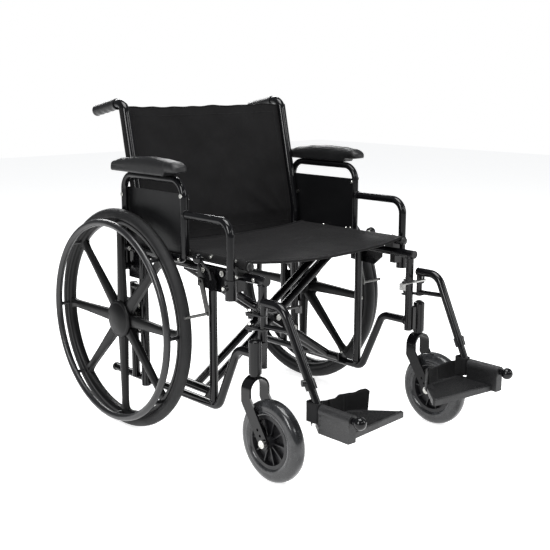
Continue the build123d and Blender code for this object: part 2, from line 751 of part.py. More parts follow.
def hanger():
    """Swing-away footrest hanger: tube, riser, two hinge plates and a lower strut."""
    x = side * hanger_half_width
    collar_x, collar_a = on_run(collar_height)
    end_x, end_a = on_run(collar_height - 14)
    start = place(x, hanger_start_ahead, hanger_height)
    corner = place(*((side * hanger_corner[0],) + hanger_corner[1:]))
    end = place(side * end_x, end_a, collar_height - 14)
    tube = bent_bar((start, corner, end), 44.0, tube_r)
    bore_low, bore_high = on_run(collar_height - 30), on_run(collar_height + 75)
    bore = round_bar(place(side * bore_low[0], bore_low[1], collar_height - 30),
                     place(side * bore_high[0], bore_high[1], collar_height + 75), tube_r - frame_wall)
    collar_top = on_run(collar_height + 8)
    collar = round_bar(place(side * collar_top[0], collar_top[1], collar_height + 8), end, tube_r + 3.0)
    riser_ahead = hanger_start_ahead + 4
    riser = round_bar(place(side * 289, riser_ahead, hinge_lower_height), place(side * 289, riser_ahead, hanger_height), 8.0)
    plates = []
    for height in (hinge_upper_height, hinge_lower_height):
        plates.append(block((side * (frame_half_width + tube_r + 1.4), side * (hinge_half_width + 8)),
                            (hinge_ahead - 9, riser_ahead + 8), (height, height + 4)))
    strut_low = on_run(377)
    strut = round_bar(place(side * 288, riser_ahead, 372), place(side * strut_low[0], strut_low[1], 377), 6.5)
    knob = round_bar(place(side * (end_x + 4), end_a - 6, collar_height + 2),
                     place(side * (end_x + 20), end_a - 14, collar_height + 2), 8.0)
    latch_ahead = hanger_start_ahead + latch_forward
    pin = round_bar(place(side * latch_half_width, latch_ahead, 404),
                    place(side * latch_half_width, latch_ahead, hanger_height), latch_pin_radius)
    pin_bores = [round_bar(place(side * hinge_half_width, hinge_ahead, height - 1),
                           place(side * hinge_half_width, hinge_ahead, height + 6), hinge_pin_radius + running)
                 for height in (hinge_upper_height, hinge_lower_height)]
    return fused("hanger", tube, collar, riser, strut, knob, *plates, pin, cuts=(bore, *pin_bores))


def hanger_latch():
    """Release lever under the hanger, pulled back to free the footrest."""
    pivot_ahead = hanger_start_ahead + latch_forward
    inner_end = latch_half_width - latch_length
    lever = block((side * (latch_half_width + 6), side * inner_end), (pivot_ahead - 6.5, pivot_ahead + 6.5), (408.5, 412))
    tip = block((side * (inner_end + 8), side * inner_end), (pivot_ahead - 8, pivot_ahead + 8), (394, 412))
    bore = round_bar(place(side * latch_half_width, pivot_ahead, 400), place(side * latch_half_width, pivot_ahead, 420),
                     latch_pin_radius + running)
    return fused("hanger_latch", lever, tip, cuts=(bore,))


def footrest_tube():
    """Telescoping lower tube with the bar that the footplate turns on and its end knob."""
    slide_r = tube_r - frame_wall - running
    top = on_run(collar_height + 62)
    low = on_run(footrest_bar_height)
    upright = round_bar(place(side * top[0], top[1], collar_height + 62),
                        place(side * low[0], low[1], footrest_bar_height), slide_r)
    bar_x = side * low[0]
    bar = round_bar(place(bar_x, low[1] - 7, footrest_bar_height), place(bar_x, footrest_bar_front, footrest_bar_height),
                    footrest_bar_radius)
    knob = ball(place(bar_x, footrest_bar_front + 2, footrest_bar_height), footrest_knob_radius)
    return fused("footrest_tube", upright, bar, knob)


def footplate():
    """Composite plate with its hinge sleeve and web."""
    bar_x = on_run(footrest_bar_height)[0]
    sleeve_back = on_run(footrest_bar_height)[1] + 11
    sleeve_front = footrest_bar_front - footrest_knob_radius - 4
    sleeve = round_bar(place(side * bar_x, sleeve_back, footrest_bar_height),
                       place(side * bar_x, sleeve_front, footrest_bar_height), footrest_bar_radius + 6)
    web = block((side * (bar_x - 12), side * (bar_x + 12)), (sleeve_back, sleeve_front - 2),
                (plate_top - plate_thickness, footrest_bar_height))
    with BuildPart() as plate:
        with BuildSketch(Plane(origin=(0, axle_y, plate_top - plate_thickness), x_dir=(0, -1, 0))):
            with BuildLine():
                Polyline(*[(a, side * v) for a, v in (
                    (plate_front_ahead + 8, bar_x + 12), (plate_front_ahead - 16, plate_inner_half_width),
                    (plate_front_ahead - 24, plate_inner_half_width), (plate_rear_ahead + 8, plate_inner_half_width + 74),
                    (plate_rear_ahead, plate_inner_half_width + 92), (plate_rear_ahead, bar_x - 14),
                    (sleeve_back, bar_x + 12))], close=True)
            make_face()
        extrude(amount=plate_thickness)
    bore = round_bar(place(side * bar_x, sleeve_back - 1, footrest_bar_height),
                     place(side * bar_x, sleeve_front + 1, footrest_bar_height), footrest_bar_radius + running)
    return fused("footplate", sleeve, web, plate.part, cuts=(bore,))


def heel_loop():
    """Webbing from the footrest tube across the rear of the footplate."""
    low = plate_top + heel_loop_lift
    bar_x, bar_a = on_run(footrest_bar_height)
    with BuildPart() as strap:
        with BuildSketch(Plane(origin=(0, axle_y, low), x_dir=(0, -1, 0))):
            with BuildLine():
                Polyline(*[(a, side * v) for a, v in (
                    (bar_a - 22, bar_x + 8), (plate_rear_ahead - 16, bar_x - 60), (plate_rear_ahead - 10, bar_x - 110),
                    (plate_rear_ahead + 22, bar_x - 165), (plate_rear_ahead + 26, bar_x - 163),
                    (plate_rear_ahead - 6, bar_x - 108), (plate_rear_ahead - 12, bar_x - 60),
                    (bar_a - 18, bar_x + 8))], close=True)
            make_face()
        extrude(amount=heel_loop_width)
    strap.part.label = "heel_loop"
    return strap.part


def brace_arm(name, top, offset):
    """One half of the cross brace: two arms, the pivot sleeve and a seat rail on gussets."""
    pivot_x = -top * pivot_half_width
    rail_x = top * seat_rail_half_width
    end_height = pivot_height + (pivot_half_width + brace_end_half_width) * brace_slope
    bars, gussets, bolt_cuts = [], [], []
    for row in (0, 2):
        ahead = brace_front_ahead - (row + offset) * brace_pitch
        start, end = place(pivot_x, ahead, pivot_height), place(top * brace_end_half_width, ahead, end_height)
        bars.append(round_bar(start, end, tube_r))
        inside = frame_half_width - tube_r - 1.5
        outline = ((brace_end_half_width - 24, end_height - 22), (brace_end_half_width + 6, end_height - 8),
                   (inside, end_height + 6), (inside, upper_rail_height + tube_r + 2),
                   (seat_rail_half_width - 6, seat_rail_height - 8), (seat_rail_half_width - 6, seat_rail_height + 6),
                   (brace_end_half_width - 24, end_height + 6))
        gussets.append(cross_plate((ahead - 4, ahead + 4), [(top * x, z) for x, z in outline]))
        bolt_cuts.append(round_bar(place(0, ahead - 20, brace_centre_height), place(0, ahead + 20, brace_centre_height),
                                   brace_bolt_radius + running))
    sleeve_front = brace_front_ahead + brace_pitch
    sleeve_rear = brace_front_ahead - 4 * brace_pitch
    sleeve = round_bar(place(pivot_x, sleeve_rear, pivot_height), place(pivot_x, sleeve_front, pivot_height),
                       pivot_sleeve_radius)
    bore = round_bar(place(pivot_x, sleeve_rear - 1, pivot_height), place(pivot_x, sleeve_front + 1, pivot_height),
                     pivot_shaft_radius + running)
    rail = round_bar(place(rail_x, seat_rail_rear, seat_rail_height), place(rail_x, seat_rail_front, seat_rail_height),
                     tube_r)
    return fused(f"brace_arm_{name}", *bars, rail, sleeve, *gussets, cuts=(bore, *bolt_cuts))


def cross_bolt():
    """Centre bolt of the cross brace, with its head and nut."""
    front = brace_front_ahead + tube_r + 8
    rear = brace_front_ahead - 3 * brace_pitch - tube_r - 8
    shaft = round_bar(place(0, rear, brace_centre_height), place(0, front, brace_centre_height), brace_bolt_radius)
    head = round_bar(place(0, front - 1.5, brace_centre_height), place(0, front + 4, brace_centre_height), 9.0)
    nut = round_bar(place(0, rear - 4, brace_centre_height), place(0, rear + 1.5, brace_centre_height), 9.0)
    return fused("cross_bolt", shaft, head, nut)


def brace_plates():
    """Drilled stiffener in front of the brace's crossing, on stand-off bolts from arm b."""
    angle = degrees(atan2(brace_slope, 1))
    low = brace_front_ahead + tube_r + 0.9
    with BuildPart() as plate:
        with BuildSketch(Plane(origin=place(0, low, brace_centre_height), x_dir=(1, 0, 0), z_dir=(0, -1, 0))):
            with Locations(Location((0, 0, 0), (0, 0, -angle))):
                RectangleRounded(180, 34, 8)
                with Locations((-52, 0), (-30, 0), (30, 0), (52, 0)):
                    Circle(5, mode=Mode.SUBTRACT)
                Circle(brace_bolt_radius + running, mode=Mode.SUBTRACT)
        extrude(amount=4)
    posts = []
    for reach in (-76, 76):
        x = reach * cos(radians(angle))
        z = brace_centre_height - reach * sin(radians(angle))
        posts.append(round_bar(place(x, brace_front_ahead - brace_pitch + tube_r - 1, z), place(x, low + 8, z), 5.0))
    arm = round_bar(place(-200, brace_front_ahead - brace_pitch, brace_centre_height + 200 * brace_slope),
                    place(200, brace_front_ahead - brace_pitch, brace_centre_height - 200 * brace_slope),
                    tube_r + seat_gap)
    return fused("brace_plates", plate.part, *posts, cuts=(arm,))


def seat_sling():
    """Seat upholstery, a shallow trough between the seat rails."""
    half = seat_rail_half_width - tube_r - 1
    top = seat_rail_height + 4
    sag = 14.0
    thick = 4.0
    with BuildPart() as sling:
        with BuildSketch(Plane(origin=place(0, seat_rail_rear + 4, 0), x_dir=(1, 0, 0), z_dir=(0, -1, 0))):
            with BuildLine():
                ThreePointArc((-half, top), (0, top - sag), (half, top))
                Line((half, top), (half, top + thick))
                ThreePointArc((half, top + thick), (0, top + thick - sag), (-half, top + thick))
                Line((-half, top + thick), (-half, top))
            make_face()
        extrude(amount=seat_rail_front - seat_rail_rear - 6)
    sling.part.label = "seat_sling"
    return sling.part


def back_sling():
    """Back upholstery between the canes, leaning with them above the knee."""
    half = cane_half_width - cane_r - 1
    low, high = 520.0, 876.0
    thick = 5.0
    outline = ((cane_ahead - 2, low), (cane_ahead - 2, cane_knee_height),
               (cane_ahead - 2 - (high - cane_knee_height) * lean, high),
               (cane_ahead - 2 - thick - (high - cane_knee_height) * lean, high),
               (cane_ahead - 2 - thick, cane_knee_height), (cane_ahead - 2 - thick, low))
    return fused("back_sling", side_plate((-half, half), outline))


side_makers = (
    side_frame, tube_plugs, hand_grip, axle_bracket, rear_axle, rear_tyre, rear_wheel, hub_cap, handrim,
    caster_housing, caster_fork, caster_tyre, caster_hub, caster_axle, armrest_frame, arm_pad, skirt_panel,
    arm_button, seat_guides, lock_bracket, lock_handle, lock_shoe, hanger, hanger_latch, footrest_tube,
    footplate, heel_loop,
)

os.makedirs("parts", exist_ok=True)
for maker in side_makers:
    right = maker()
    left = mirror(right, about=Plane.YZ)
    left.label = f"{right.label}_left"
    right.label = f"{right.label}_right"
    write(right)
    write(left)
write(brace_arm("a", 1, 0))
write(brace_arm("b", -1, 1))
write(cross_bolt())
write(brace_plates())
write(seat_sling())
write(back_sling())
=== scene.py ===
import bpy
import bmesh
import json
from math import atan2, cos, pi, radians, sin, sqrt
from mathutils import Matrix, Vector, noise


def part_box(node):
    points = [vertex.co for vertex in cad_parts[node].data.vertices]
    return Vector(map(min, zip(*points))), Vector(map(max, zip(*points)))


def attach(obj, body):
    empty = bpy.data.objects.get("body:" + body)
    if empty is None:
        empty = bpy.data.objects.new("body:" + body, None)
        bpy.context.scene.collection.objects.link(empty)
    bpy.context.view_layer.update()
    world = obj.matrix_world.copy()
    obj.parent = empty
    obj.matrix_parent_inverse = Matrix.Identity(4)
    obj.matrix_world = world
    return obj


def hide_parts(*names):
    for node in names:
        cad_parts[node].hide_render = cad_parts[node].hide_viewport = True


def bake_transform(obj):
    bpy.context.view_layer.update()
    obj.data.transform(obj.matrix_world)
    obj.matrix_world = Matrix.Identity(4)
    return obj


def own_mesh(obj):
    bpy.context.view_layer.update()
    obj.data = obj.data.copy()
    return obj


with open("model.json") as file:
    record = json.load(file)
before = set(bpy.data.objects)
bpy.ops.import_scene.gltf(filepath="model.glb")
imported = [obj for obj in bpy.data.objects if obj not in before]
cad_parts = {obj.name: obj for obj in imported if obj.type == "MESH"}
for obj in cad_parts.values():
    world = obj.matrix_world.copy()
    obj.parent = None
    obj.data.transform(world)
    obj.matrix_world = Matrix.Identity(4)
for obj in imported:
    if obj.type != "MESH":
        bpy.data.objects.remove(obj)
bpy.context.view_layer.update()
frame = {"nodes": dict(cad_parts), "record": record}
nodes = frame["nodes"]
sides = (("right", -1), ("left", 1))

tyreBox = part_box("rear_tyre_right")
chair = {"axleY": (tyreBox[0][1] + tyreBox[1][1]) / 2,  # in metres, the rest in millimetres
         "wheelX": 345, "axleZ": 305, "caneX": 287, "caneAhead": 20, "caneBend": 560, "caneTop": 893,
         "caneLean": 12}


def at(x, ahead, z):  # millimetres ahead of the rear axle, to the shared frame in metres
    return Vector((x / 1000, chair["axleY"] - ahead / 1000, z / 1000))


def newGroup(name, inputs, outputs):
    group = bpy.data.node_groups.new(name, "ShaderNodeTree")
    for label, kind, value in inputs:
        socket = group.interface.new_socket(label, in_out="INPUT", socket_type="NodeSocket" + kind)
        socket.default_value = value
    for label, kind in outputs:
        group.interface.new_socket(label, in_out="OUTPUT", socket_type="NodeSocket" + kind)
    source = group.nodes.new("NodeGroupInput")
    sink = group.nodes.new("NodeGroupOutput")
    return group, source, sink


def fill(node, values):
    for key, value in values.items():
        node.inputs[key].default_value = value
    return node


def wire(origin, outlet, target, inlet):
    origin.id_data.links.new(origin.outputs[outlet], target.inputs[inlet])


def makeNode(tree, kind, **settings):
    node = tree.nodes.new(kind)
    for key, value in settings.items():
        if key in node.inputs:
            node.inputs[key].default_value = value
        else:
            setattr(node, key, value)
    return node


def buildSpeckleGroup():  # two colours mixed by noise
    group, source, sink = newGroup(
        "speckle",
        [("Base", "Color", (0.1, 0.1, 0.1, 1)), ("Fleck", "Color", (0.3, 0.3, 0.3, 1)),
         ("Scale", "Float", 300.0), ("Amount", "Float", 0.3)],
        [("Color", "Color"), ("Mask", "Float")])
    coords = makeNode(group, "ShaderNodeTexCoord")
    fine = makeNode(group, "ShaderNodeTexNoise", Detail=3.0, Roughness=0.6)
    wire(coords, "Object", fine, "Vector")
    wire(source, "Scale", fine, "Scale")
    ramp = fill(makeNode(group, "ShaderNodeMapRange"), {"From Min": 0.45, "From Max": 0.72})
    wire(fine, "Fac", ramp, "Value")
    share = makeNode(group, "ShaderNodeMath", operation="MULTIPLY")
    wire(ramp, "Result", share, 0)
    wire(source, "Amount", share, 1)
    mix = makeNode(group, "ShaderNodeMix", data_type="RGBA")
    wire(share, 0, mix, "Factor")
    wire(source, "Base", mix, "A")
    wire(source, "Fleck", mix, "B")
    wire(mix, "Result", sink, "Color")
    wire(share, 0, sink, "Mask")
    return group


def buildGrainGroup():  # a bump height from noise, with pebbly cells on top
    group, source, sink = newGroup(
        "grain",
        [("Scale", "Float", 400.0), ("Cells", "Float", 0.5)],
        [("Height", "Float")])
    coords = makeNode(group, "ShaderNodeTexCoord")
    soft = makeNode(group, "ShaderNodeTexNoise", Detail=4.0)
    cells = makeNode(group, "ShaderNodeTexVoronoi")
    for texture in (soft, cells):
        wire(coords, "Object", texture, "Vector")
        wire(source, "Scale", texture, "Scale")
    weigh = makeNode(group, "ShaderNodeMath", operation="MULTIPLY")
    wire(cells, "Distance", weigh, 0)
    wire(source, "Cells", weigh, 1)
    total = makeNode(group, "ShaderNodeMath", operation="ADD")
    wire(soft, "Fac", total, 0)
    wire(weigh, 0, total, 1)
    wire(total, 0, sink, "Height")
    return group


def buildWeaveGroup():  # over and under threads across the piece's own uv map
    group, source, sink = newGroup(
        "weave",
        [("Threads", "Float", 900.0), ("Slub", "Float", 0.2)],
        [("Height", "Float"), ("Gap", "Float")])
    coords = makeNode(group, "ShaderNodeTexCoord")
    waves = []
    for direction in ("X", "Y"):
        wave = makeNode(group, "ShaderNodeTexWave", wave_type="BANDS", bands_direction=direction,
                        Distortion=0.4)
        wire(coords, "UV", wave, "Vector")
        wire(source, "Threads", wave, "Scale")
        waves.append(wave)
    crossing = makeNode(group, "ShaderNodeMath", operation="MULTIPLY")
    wire(waves[0], "Fac", crossing, 0)
    wire(waves[1], "Fac", crossing, 1)
    slub = makeNode(group, "ShaderNodeTexNoise", Scale=60.0, Detail=3.0)
    wire(coords, "Object", slub, "Vector")
    slubShare = makeNode(group, "ShaderNodeMath", operation="MULTIPLY")
    wire(slub, "Fac", slubShare, 0)
    wire(source, "Slub", slubShare, 1)
    total = makeNode(group, "ShaderNodeMath", operation="ADD")
    wire(crossing, 0, total, 0)
    wire(slubShare, 0, total, 1)
    wire(total, 0, sink, "Height")
    wire(crossing, 0, sink, "Gap")
    return group


def buildScuffGroup():  # faint handling marks that dull a gloss
    group, source, sink = newGroup(
        "scuff",
        [("Clean", "Float", 0.2), ("Dull", "Float", 0.35),
         ("Scale", "Float", 14.0)],
        [("Roughness", "Float"), ("Mask", "Float")])
    coords = makeNode(group, "ShaderNodeTexCoord")
    cloud = makeNode(group, "ShaderNodeTexNoise", Detail=6.0, Roughness=0.65)
    wire(coords, "Object", cloud, "Vector")
    wire(source, "Scale", cloud, "Scale")
    spread = fill(makeNode(group, "ShaderNodeMapRange"), {"From Min": 0.4, "From Max": 0.75})
    wire(cloud, "Fac", spread, "Value")
    blendNode = makeNode(group, "ShaderNodeMix", data_type="FLOAT")
    wire(spread, "Result", blendNode, "Factor")
    wire(source, "Clean", blendNode, "A")
    wire(source, "Dull", blendNode, "B")
    wire(blendNode, "Result", sink, "Roughness")
    wire(spread, "Result", sink, "Mask")
    return group


speckleGroup = buildSpeckleGroup()
grainGroup = buildGrainGroup()
weaveGroup = buildWeaveGroup()
scuffGroup = buildScuffGroup()
print("shader groups built")


def useGroup(tree, group, **values):
    node = tree.nodes.new("ShaderNodeGroup")
    node.node_tree = group
    return fill(node, values)


def makeFinish(name, base, fleck, speckle, gloss, bump,
               metallic=0.0, coat=0.0, sheen=0.0, threads=0.0, glow=0.0, shine=0.5):
    material = bpy.data.materials.new(name)
    material.use_nodes = True
    tree = material.node_tree
    shader = fill(tree.nodes["Principled BSDF"], {
        "Metallic": metallic, "Coat Weight": coat, "Coat Roughness": 0.06, "Sheen Weight": sheen,
        "Subsurface Weight": glow, "Specular IOR Level": shine, "Subsurface Radius": (0.004, 0.004, 0.004)})
    colours = useGroup(tree, speckleGroup,
                       Base=(*base, 1), Fleck=(*fleck, 1), Scale=speckle[0], Amount=speckle[1])
    wire(colours, "Color", shader, "Base Color")
    marks = useGroup(tree, scuffGroup, Clean=gloss[0], Dull=gloss[1], Scale=gloss[2])
    wire(marks, "Roughness", shader, "Roughness")
    bumpNode = fill(tree.nodes.new("ShaderNodeBump"), {"Strength": bump[2], "Distance": bump[1]})
    if threads:
        cloth = useGroup(tree, weaveGroup, Threads=threads, Slub=0.5)
        wire(cloth, "Height", bumpNode, "Height")
    else:
        pebbles = useGroup(tree, grainGroup, Scale=bump[0], Cells=bump[3])
        wire(pebbles, "Height", bumpNode, "Height")
    wire(bumpNode, "Normal", shader, "Normal")
    return material


finishes = {  # base, fleck, speckle scale and amount, clean, dull and scuff scale, then the grain's four
    "frame_black": makeFinish("powderBlack", (0.0025, 0.0025, 0.003), (0.008, 0.008, 0.008), (900, 0.15),
                              (0.14, 0.24, 9), (330, 0.00004, 0.15, 0.1), coat=0.16, shine=0.2),
    "rim_grey": makeFinish("rimSatin", (0.007, 0.007, 0.0078), (0.018, 0.018, 0.019), (700, 0.2),
                           (0.28, 0.4, 12), (330, 0.00005, 0.2, 0.15), coat=0.12, shine=0.4),
    "zinc": makeFinish("zincPlate", (0.55, 0.55, 0.53), (0.72, 0.7, 0.62), (240, 0.5),
                       (0.22, 0.4, 40), (500, 0.0001, 0.25, 0.2), metallic=1.0),
    "tyre_black": makeFinish("tyreRubber", (0.005, 0.005, 0.0055), (0.014, 0.014, 0.014), (260, 0.3),
                             (0.55, 0.72, 18), (700, 0.0003, 0.5, 0.8), shine=0.3),
    "wheel_black": makeFinish("wheelNylon", (0.003, 0.003, 0.0032), (0.008, 0.008, 0.008), (500, 0.25),
                              (0.33, 0.46, 11), (420, 0.0001, 0.3, 0.3), shine=0.18),
    "hub_black": makeFinish("hubNylon", (0.006, 0.006, 0.007), (0.014, 0.014, 0.015), (500, 0.25),
                            (0.32, 0.46, 15), (650, 0.0002, 0.35, 0.6), shine=0.35),
    "caster_grey": makeFinish("casterUrethane", (0.012, 0.0125, 0.0135), (0.045, 0.046, 0.049), (48, 0.6),
                              (0.18, 0.34, 22), (260, 0.00005, 0.2, 0.15), coat=0.2, glow=0.06, shine=0.4),
    "vinyl_black": makeFinish("padVinyl", (0.0045, 0.0045, 0.005), (0.011, 0.011, 0.011), (300, 0.3),
                              (0.42, 0.56, 16), (520, 0.0005, 0.5, 1.4), shine=0.35),
    "panel_black": makeFinish("panelPlastic", (0.0035, 0.0035, 0.004), (0.008, 0.008, 0.008), (600, 0.2),
                              (0.34, 0.46, 7), (900, 0.0002, 0.35, 1.0), shine=0.25),
    "plug_black": makeFinish("plugPlastic", (0.005, 0.005, 0.005), (0.012, 0.012, 0.012), (500, 0.2),
                             (0.35, 0.5, 20), (700, 0.0002, 0.3, 0.6), shine=0.35),
    "grip_black": makeFinish("gripVinyl", (0.0045, 0.0045, 0.005), (0.012, 0.012, 0.012), (300, 0.3),
                             (0.38, 0.54, 25), (800, 0.0003, 0.4, 0.8), shine=0.35),
    "latch_black": makeFinish("latchSteel", (0.005, 0.005, 0.005), (0.014, 0.014, 0.014), (700, 0.2),
                              (0.22, 0.36, 20), (700, 0.0001, 0.2, 0.4), coat=0.3),
    "plate_grey": makeFinish("plateComposite", (0.009, 0.009, 0.0095), (0.075, 0.075, 0.077), (420, 0.34),
                             (0.4, 0.56, 16), (380, 0.0005, 0.5, 1.0), shine=0.35),
    "nylon_black": makeFinish("slingNylon", (0.0042, 0.004, 0.0043), (0.0078, 0.0075, 0.0079), (30, 0.4),
                              (0.62, 0.78, 10), (0, 0.0005, 0.5, 0), sheen=0.03, threads=160.0, shine=0.1),
    "webbing_black": makeFinish("heelWebbing", (0.0045, 0.0045, 0.005), (0.01, 0.01, 0.01), (80, 0.35),
                                (0.66, 0.8, 20), (0, 0.0006, 0.6, 0), sheen=0.05, threads=60.0, shine=0.16),
    "thread": makeFinish("sewingThread", (0.009, 0.009, 0.0095), (0.016, 0.016, 0.017), (900, 0.3),
                         (0.5, 0.6, 30), (900, 0.0001, 0.3, 0.4), shine=0.25),
    "lock_zinc": makeFinish("lockZinc", (0.09, 0.09, 0.088), (0.2, 0.2, 0.19), (240, 0.5),
                            (0.3, 0.45, 40), (500, 0.0001, 0.25, 0.2), metallic=1.0),
    "latch_bright": makeFinish("latchBright", (0.45, 0.45, 0.44), (0.6, 0.6, 0.58), (240, 0.4),
                               (0.25, 0.4, 30), (500, 0.0001, 0.2, 0.2), metallic=1.0),
}

slotOf = {part["node"]: part["material_slot"] for part in frame["record"]["subparts"]}
for nodeName, thing in nodes.items():
    finish = finishes[slotOf[nodeName]]
    if nodeName == "hanger_latch_left":
        finish = finishes["latch_bright"]
    if nodeName.startswith("lock_shoe"):
        finish = finishes["lock_zinc"]
    if thing.material_slots:
        for materialSlot in thing.material_slots:
            materialSlot.material = finish
    else:
        thing.data.materials.append(finish)
print("finishes set on", len(nodes), "nodes")


def makePiece(name, points, faces, finish, smooth=True):
    mesh = bpy.data.meshes.new(name)
    mesh.from_pydata([tuple(p) for p in points], [], faces)
    mesh.validate()
    work = bmesh.new()
    work.from_mesh(mesh)
    bmesh.ops.remove_doubles(work, verts=work.verts, dist=0.00002)
    bmesh.ops.recalc_face_normals(work, faces=work.faces)
    work.to_mesh(mesh)
    work.free()
    piece = bpy.data.objects.new(name, mesh)
    bpy.context.scene.collection.objects.link(piece)
    mesh.materials.append(finishes[finish])
    for face in mesh.polygons:
        face.use_smooth = smooth
    return piece


def applyModifiers(piece):
    bpy.context.view_layer.update()
    graph = bpy.context.evaluated_depsgraph_get()
    final = bpy.data.meshes.new_from_object(piece.evaluated_get(graph), preserve_all_data_layers=True,
                                            depsgraph=graph)
    piece.modifiers.clear()
    piece.data = final
    return piece


def thicken(piece, millimetres, offset=0.0):
    cloth = piece.modifiers.new("cloth", "SOLIDIFY")
    cloth.thickness = millimetres / 1000
    cloth.offset = offset
    return applyModifiers(piece)


def dress(piece, body, standsFor=None):
    if standsFor:
        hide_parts(standsFor)
    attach(piece, body)


def forBothSides(stage, *builders):
    for sideName, side in sides:
        for build in builders:
            build(sideName, side)
    print(stage)


def rough(x, y, z):
    return noise.noise(Vector((x, y, z)))


def smoothByAngle(piece, angle=35):
    for face in piece.data.polygons:
        face.use_smooth = True
    piece.data.set_sharp_from_angle(angle=radians(angle))
    return piece


def gridFaces(rows, columns, closedRows=False, closedColumns=False):
    faces = []
    for i in range(rows if closedRows else rows - 1):
        for j in range(columns if closedColumns else columns - 1):
            a = i * columns + j
            b = i * columns + (j + 1) % columns
            c = ((i + 1) % rows) * columns + (j + 1) % columns
            d = ((i + 1) % rows) * columns + j
            faces.append((a, b, c, d))
    return faces


def turnedPoints(profile, segments):  # rings about the x axis from (x, radius) points in millimetres
    rings = []
    for x, radius in ((x / 1000, r / 1000) for x, r in profile):
        rings.append([Vector((x, radius * cos(2 * pi * k / segments), radius * sin(2 * pi * k / segments)))
                      for k in range(segments)])
    return rings


def makeTurned(name, centre, profile, finish, segments=96, closed=False):
    rings = turnedPoints(profile, segments)
    points = [centre + p for ring in rings for p in ring]
    faces = gridFaces(len(rings), segments, closedRows=closed, closedColumns=True)
    return makePiece(name, points, faces, finish)


def tubeMesh(name, path, radius, finish, sides=12, capped=True):  # a round strand along points
    points, faces = [], []
    up = Vector((0.13, 0.21, 0.97))
    for i, p in enumerate(path):
        ahead = (path[min(i + 1, len(path) - 1)] - path[max(i - 1, 0)]).normalized()
        across = ahead.cross(up).normalized()
        lift = across.cross(ahead)
        for k in range(sides):
            turn = 2 * pi * k / sides
            points.append(p + across * cos(turn) * radius + lift * sin(turn) * radius)
    faces = gridFaces(len(path), sides, closedColumns=True)
    if capped:
        faces.append(tuple(range(sides)))
        faces.append(tuple((len(path) - 1) * sides + k for k in reversed(range(sides))))
    return makePiece(name, points, faces, finish)


def writeUv(piece, uvOf):
    layer = piece.data.uv_layers.new(name="cloth")
    for loop in piece.data.loops:
        layer.data[loop.index].uv = uvOf(piece.data.vertices[loop.vertex_index].co)


def joinInto(name, parts):
    for part in bpy.context.selected_objects:
        part.select_set(False)
    for part in parts:
        part.select_set(True)
    bpy.context.view_layer.objects.active = parts[0]
    bpy.ops.object.join()
    parts[0].name = name
    parts[0].data.name = name
    return parts[0]


def newTree(name, inputs):
    tree = bpy.data.node_groups.new(name, "GeometryNodeTree")
    tree.interface.new_socket("Geometry", in_out="INPUT", socket_type="NodeSocketGeometry")
    for label, kind, value in inputs:
        socket = tree.interface.new_socket(label, in_out="INPUT", socket_type="NodeSocket" + kind)
        if value is not None:
            socket.default_value = value
    tree.interface.new_socket("Geometry", in_out="OUTPUT", socket_type="NodeSocketGeometry")
    return tree, tree.nodes.new("NodeGroupInput"), tree.nodes.new("NodeGroupOutput")


def finishTree(tree, source, sink, geometry):
    realize = tree.nodes.new("GeometryNodeRealizeInstances")
    paint = tree.nodes.new("GeometryNodeSetMaterial")
    tree.links.new(geometry, realize.inputs[0])
    wire(realize, 0, paint, "Geometry")
    wire(source, "Finish", paint, "Material")
    wire(paint, 0, sink, 0)


def buildScrewTree():  # a domed head with a washer at each point, facing along the point's normal
    tree, source, sink = newTree("screwHeads", [
        ("Head Radius", "Float", 0.005), ("Head Height", "Float", 0.003),
        ("Washer Radius", "Float", 0.007), ("Sides", "Int", 16),
        ("Finish", "Material", None)])
    links = tree.links
    facing = makeNode(tree, "GeometryNodeInputNamedAttribute", data_type="FLOAT_VECTOR")
    fill(facing, {"Name": "facing"})
    align = makeNode(tree, "FunctionNodeAlignRotationToVector", axis="Z")
    wire(facing, "Attribute", align, "Vector")
    shank = makeNode(tree, "GeometryNodeMeshCone")
    wire(source, "Sides", shank, "Vertices")
    wire(source, "Head Radius", shank, "Radius Bottom")
    narrow = fill(makeNode(tree, "ShaderNodeMath", operation="MULTIPLY"), {1: 0.72})
    wire(source, "Head Radius", narrow, 0)
    wire(narrow, 0, shank, "Radius Top")
    wire(source, "Head Height", shank, "Depth")
    washer = makeNode(tree, "GeometryNodeMeshCylinder", Vertices=20, Depth=0.0014)
    wire(source, "Washer Radius", washer, "Radius")
    socketHole = makeNode(tree, "GeometryNodeMeshCylinder", Vertices=6, Depth=0.0012)
    small = fill(makeNode(tree, "ShaderNodeMath", operation="MULTIPLY"), {1: 0.42})
    wire(source, "Head Radius", small, 0)
    wire(small, 0, socketHole, "Radius")
    lift = makeNode(tree, "GeometryNodeTransform")
    height = makeNode(tree, "ShaderNodeCombineXYZ")
    wire(source, "Head Height", height, "Z")
    wire(socketHole, "Mesh", lift, "Geometry")
    wire(height, 0, lift, "Translation")
    head = makeNode(tree, "GeometryNodeJoinGeometry")
    for part in (shank.outputs["Mesh"], washer.outputs["Mesh"], lift.outputs["Geometry"]):
        links.new(part, head.inputs[0])
    toPoints = makeNode(tree, "GeometryNodeMeshToPoints")
    place = makeNode(tree, "GeometryNodeInstanceOnPoints")
    wire(source, "Geometry", toPoints, "Mesh")
    wire(toPoints, "Points", place, "Points")
    wire(head, 0, place, "Instance")
    wire(align, "Rotation", place, "Rotation")
    finishTree(tree, source, sink, place.outputs[0])
    return tree


